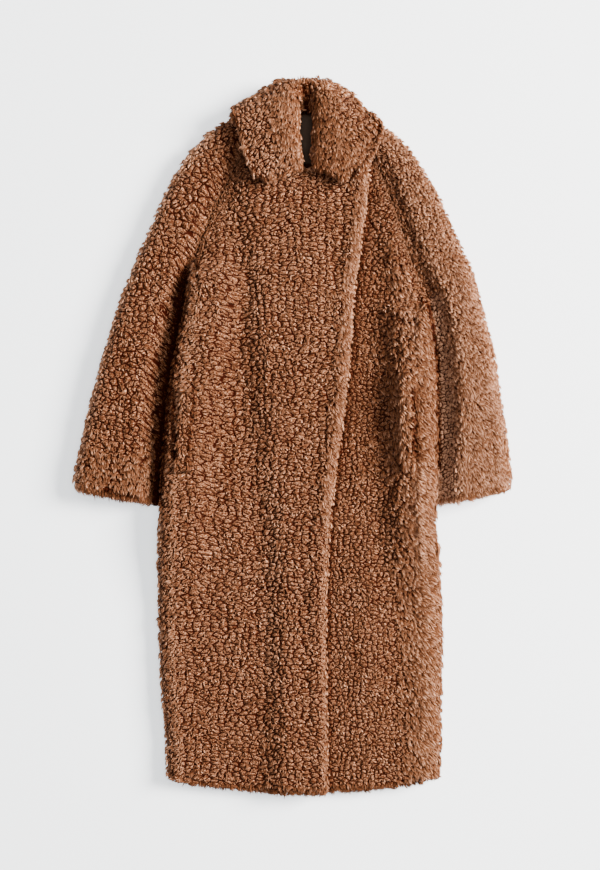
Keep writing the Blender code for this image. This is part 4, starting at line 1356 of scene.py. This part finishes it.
def fringe_spots(skin, draw):
    """Places of the small locks beside the fringes' lines."""
    found = []
    for panel, offsets, spacing, _, points in FRINGES:
        line = np.array(points) * MM
        for start, end in zip(line[:-1], line[1:]):
            step = end - start
            length = np.linalg.norm(step)
            left = np.array([-step[1], step[0]]) / length
            count = max(1, round(length / (spacing * MM)))
            for offset in offsets:
                for k in range(count):
                    share = (k + draw.uniform(0.0, 1.0)) / count
                    aside = (offset + draw.uniform(-FRINGE_STRAY, FRINGE_STRAY)) * MM
                    x, y = start + step * share + left * aside
                    found.append(spot_below(skin, panel, x, y))
    return [spot for spot in found if spot]


def hem_spots(skin, draw):
    """Places along the lower edges, whose locks hang over them."""
    found = []
    for panel, highest in HEMS.items():
        low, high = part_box(panel)
        for x in np.arange(low[0], high[0], HEM_SPACING):
            for y in np.arange(low[1], highest * MM, MM):
                spot = spot_below(skin, panel, x, y + draw.uniform(*HEM_STRAY) * MM)
                if spot:
                    found.append(spot)
                    break
    return found


def row_spots(skin, draw):
    """Staggered rows of places on all faces that look up, outside the fringes."""
    found = []
    for panel, pitch in PITCH.items():
        along, between = pitch[0] * MM, pitch[1] * MM
        low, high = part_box(panel)
        for i in range(int((high[1] - low[1]) / between) + 2):
            for j in range(int((high[0] - low[0]) / along) + 2):
                x = low[0] + (j + 0.5 * (i % 2) + draw.uniform(-ROW_STRAY, ROW_STRAY)) * along
                y = low[1] + (i + draw.uniform(-ROW_STRAY, ROW_STRAY)) * between
                spot = spot_below(skin, panel, x, y, lying=True)
                if spot and not in_fringe(panel, x, y):
                    found.append(spot)
    return found


def scattered_spots(skin, draw):
    """Places on steep faces, no two nearer than STEEP_PITCH."""
    corners = skin["points"][skin["faces"]]
    cross = np.cross(corners[:, 1] - corners[:, 0], corners[:, 2] - corners[:, 0])
    area = np.linalg.norm(cross, axis=1) / 2.0
    flatness = np.abs(cross[:, 2]) / np.maximum(2.0 * area, TINY)
    index = np.nonzero((flatness < LYING) & (area > SLIVER))[0]
    total = area[index].sum()
    darts = int(total / STEEP_PITCH ** 2 * DARTS)
    picks = draw.choice(index, darts, p=area[index] / total)
    u, v = draw.random(darts), draw.random(darts)
    flip = u + v > 1.0
    u[flip], v[flip] = 1.0 - u[flip], 1.0 - v[flip]
    found, kept = [], {name: np.zeros((0, 3)) for name in PITCH}
    for pick, a, b in zip(picks, u, v):
        panel = skin["owners"][pick]
        base = corners[pick]
        at = base[0] + a * (base[1] - base[0]) + b * (base[2] - base[0])
        if ((kept[panel] - at) ** 2).sum(1).min(initial=1.0) < STEEP_PITCH ** 2:
            continue
        kept[panel] = np.vstack([kept[panel], at])
        up = smooth_normal(skin, pick, at)
        if not faces_another(panel, Vector(at), Vector(up), COVERED):
            found.append((panel, at, up))
    return found


def all_spots(skin):
    """Every lock of the coat, sort by sort and panel by panel."""
    draw = np.random.default_rng(SPOT_SEED)
    groups = dict(rows=row_spots(skin, draw), steep=scattered_spots(skin, draw),
                  fringe=fringe_spots(skin, draw), hem=hem_spots(skin, draw))
    spots = []
    for sort, group in groups.items():
        for panel in PANELS:
            own = [spot for spot in group if spot[0] == panel]
            if not own:
                continue
            places = np.array([at for _, at, _ in own])
            lifts = creased(places, np.array([up for _, _, up in own]))
            lie = lies(panel, places[:, :2])
            for k, (_, at, up) in enumerate(own):
                row = {key: float(values[k]) for key, values in lie.items()}
                lifted = at + np.array([0.0, 0.0, lifts[k]])
                spots.append(spot_at(panel, lifted, up, row, sort, draw))
    return [spot for spot in spots if spot is not None]


# ---------------------------------------------------------------- the coat

def parts_of_pile(spots):
    """Spots by panel, the fronts' in an upper and a lower half, for pieces of a fair size."""
    groups = {}
    for spot in spots:
        name = "strands_" + spot["panel"]
        if spot["panel"] in ("front_right", "front_left"):
            name += "_upper" if spot["root"][1] > 0.0 else "_lower"
        groups.setdefault(name, []).append(spot)
    return groups


def coat():
    backing, satin = backing_material(), lining_material()
    curls, loose = curl_material(), strand_material()
    forms = {name: outer_form(name) for name in PANELS}
    relief, planting, locks = relief_tree(), planting_tree(), lock_collection()
    piles = {name: [pile_skin(name, form, relief, curls)] for name, form in forms.items()}
    spots = all_spots(joined(forms))
    for name, group in sorted(parts_of_pile(spots).items()):
        piles[group[0]["panel"]].append(plant(name, group, locks, planting, loose))
    for name in PANELS:
        for piece in piles[name]:
            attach(piece, "root")
        piece = cloth(name, backing)
        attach(piece, "root")
        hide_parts(name)
    neck = lining(satin)
    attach(neck, "root")
    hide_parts("neck_lining")


camera()
lights()
floor()
coat()
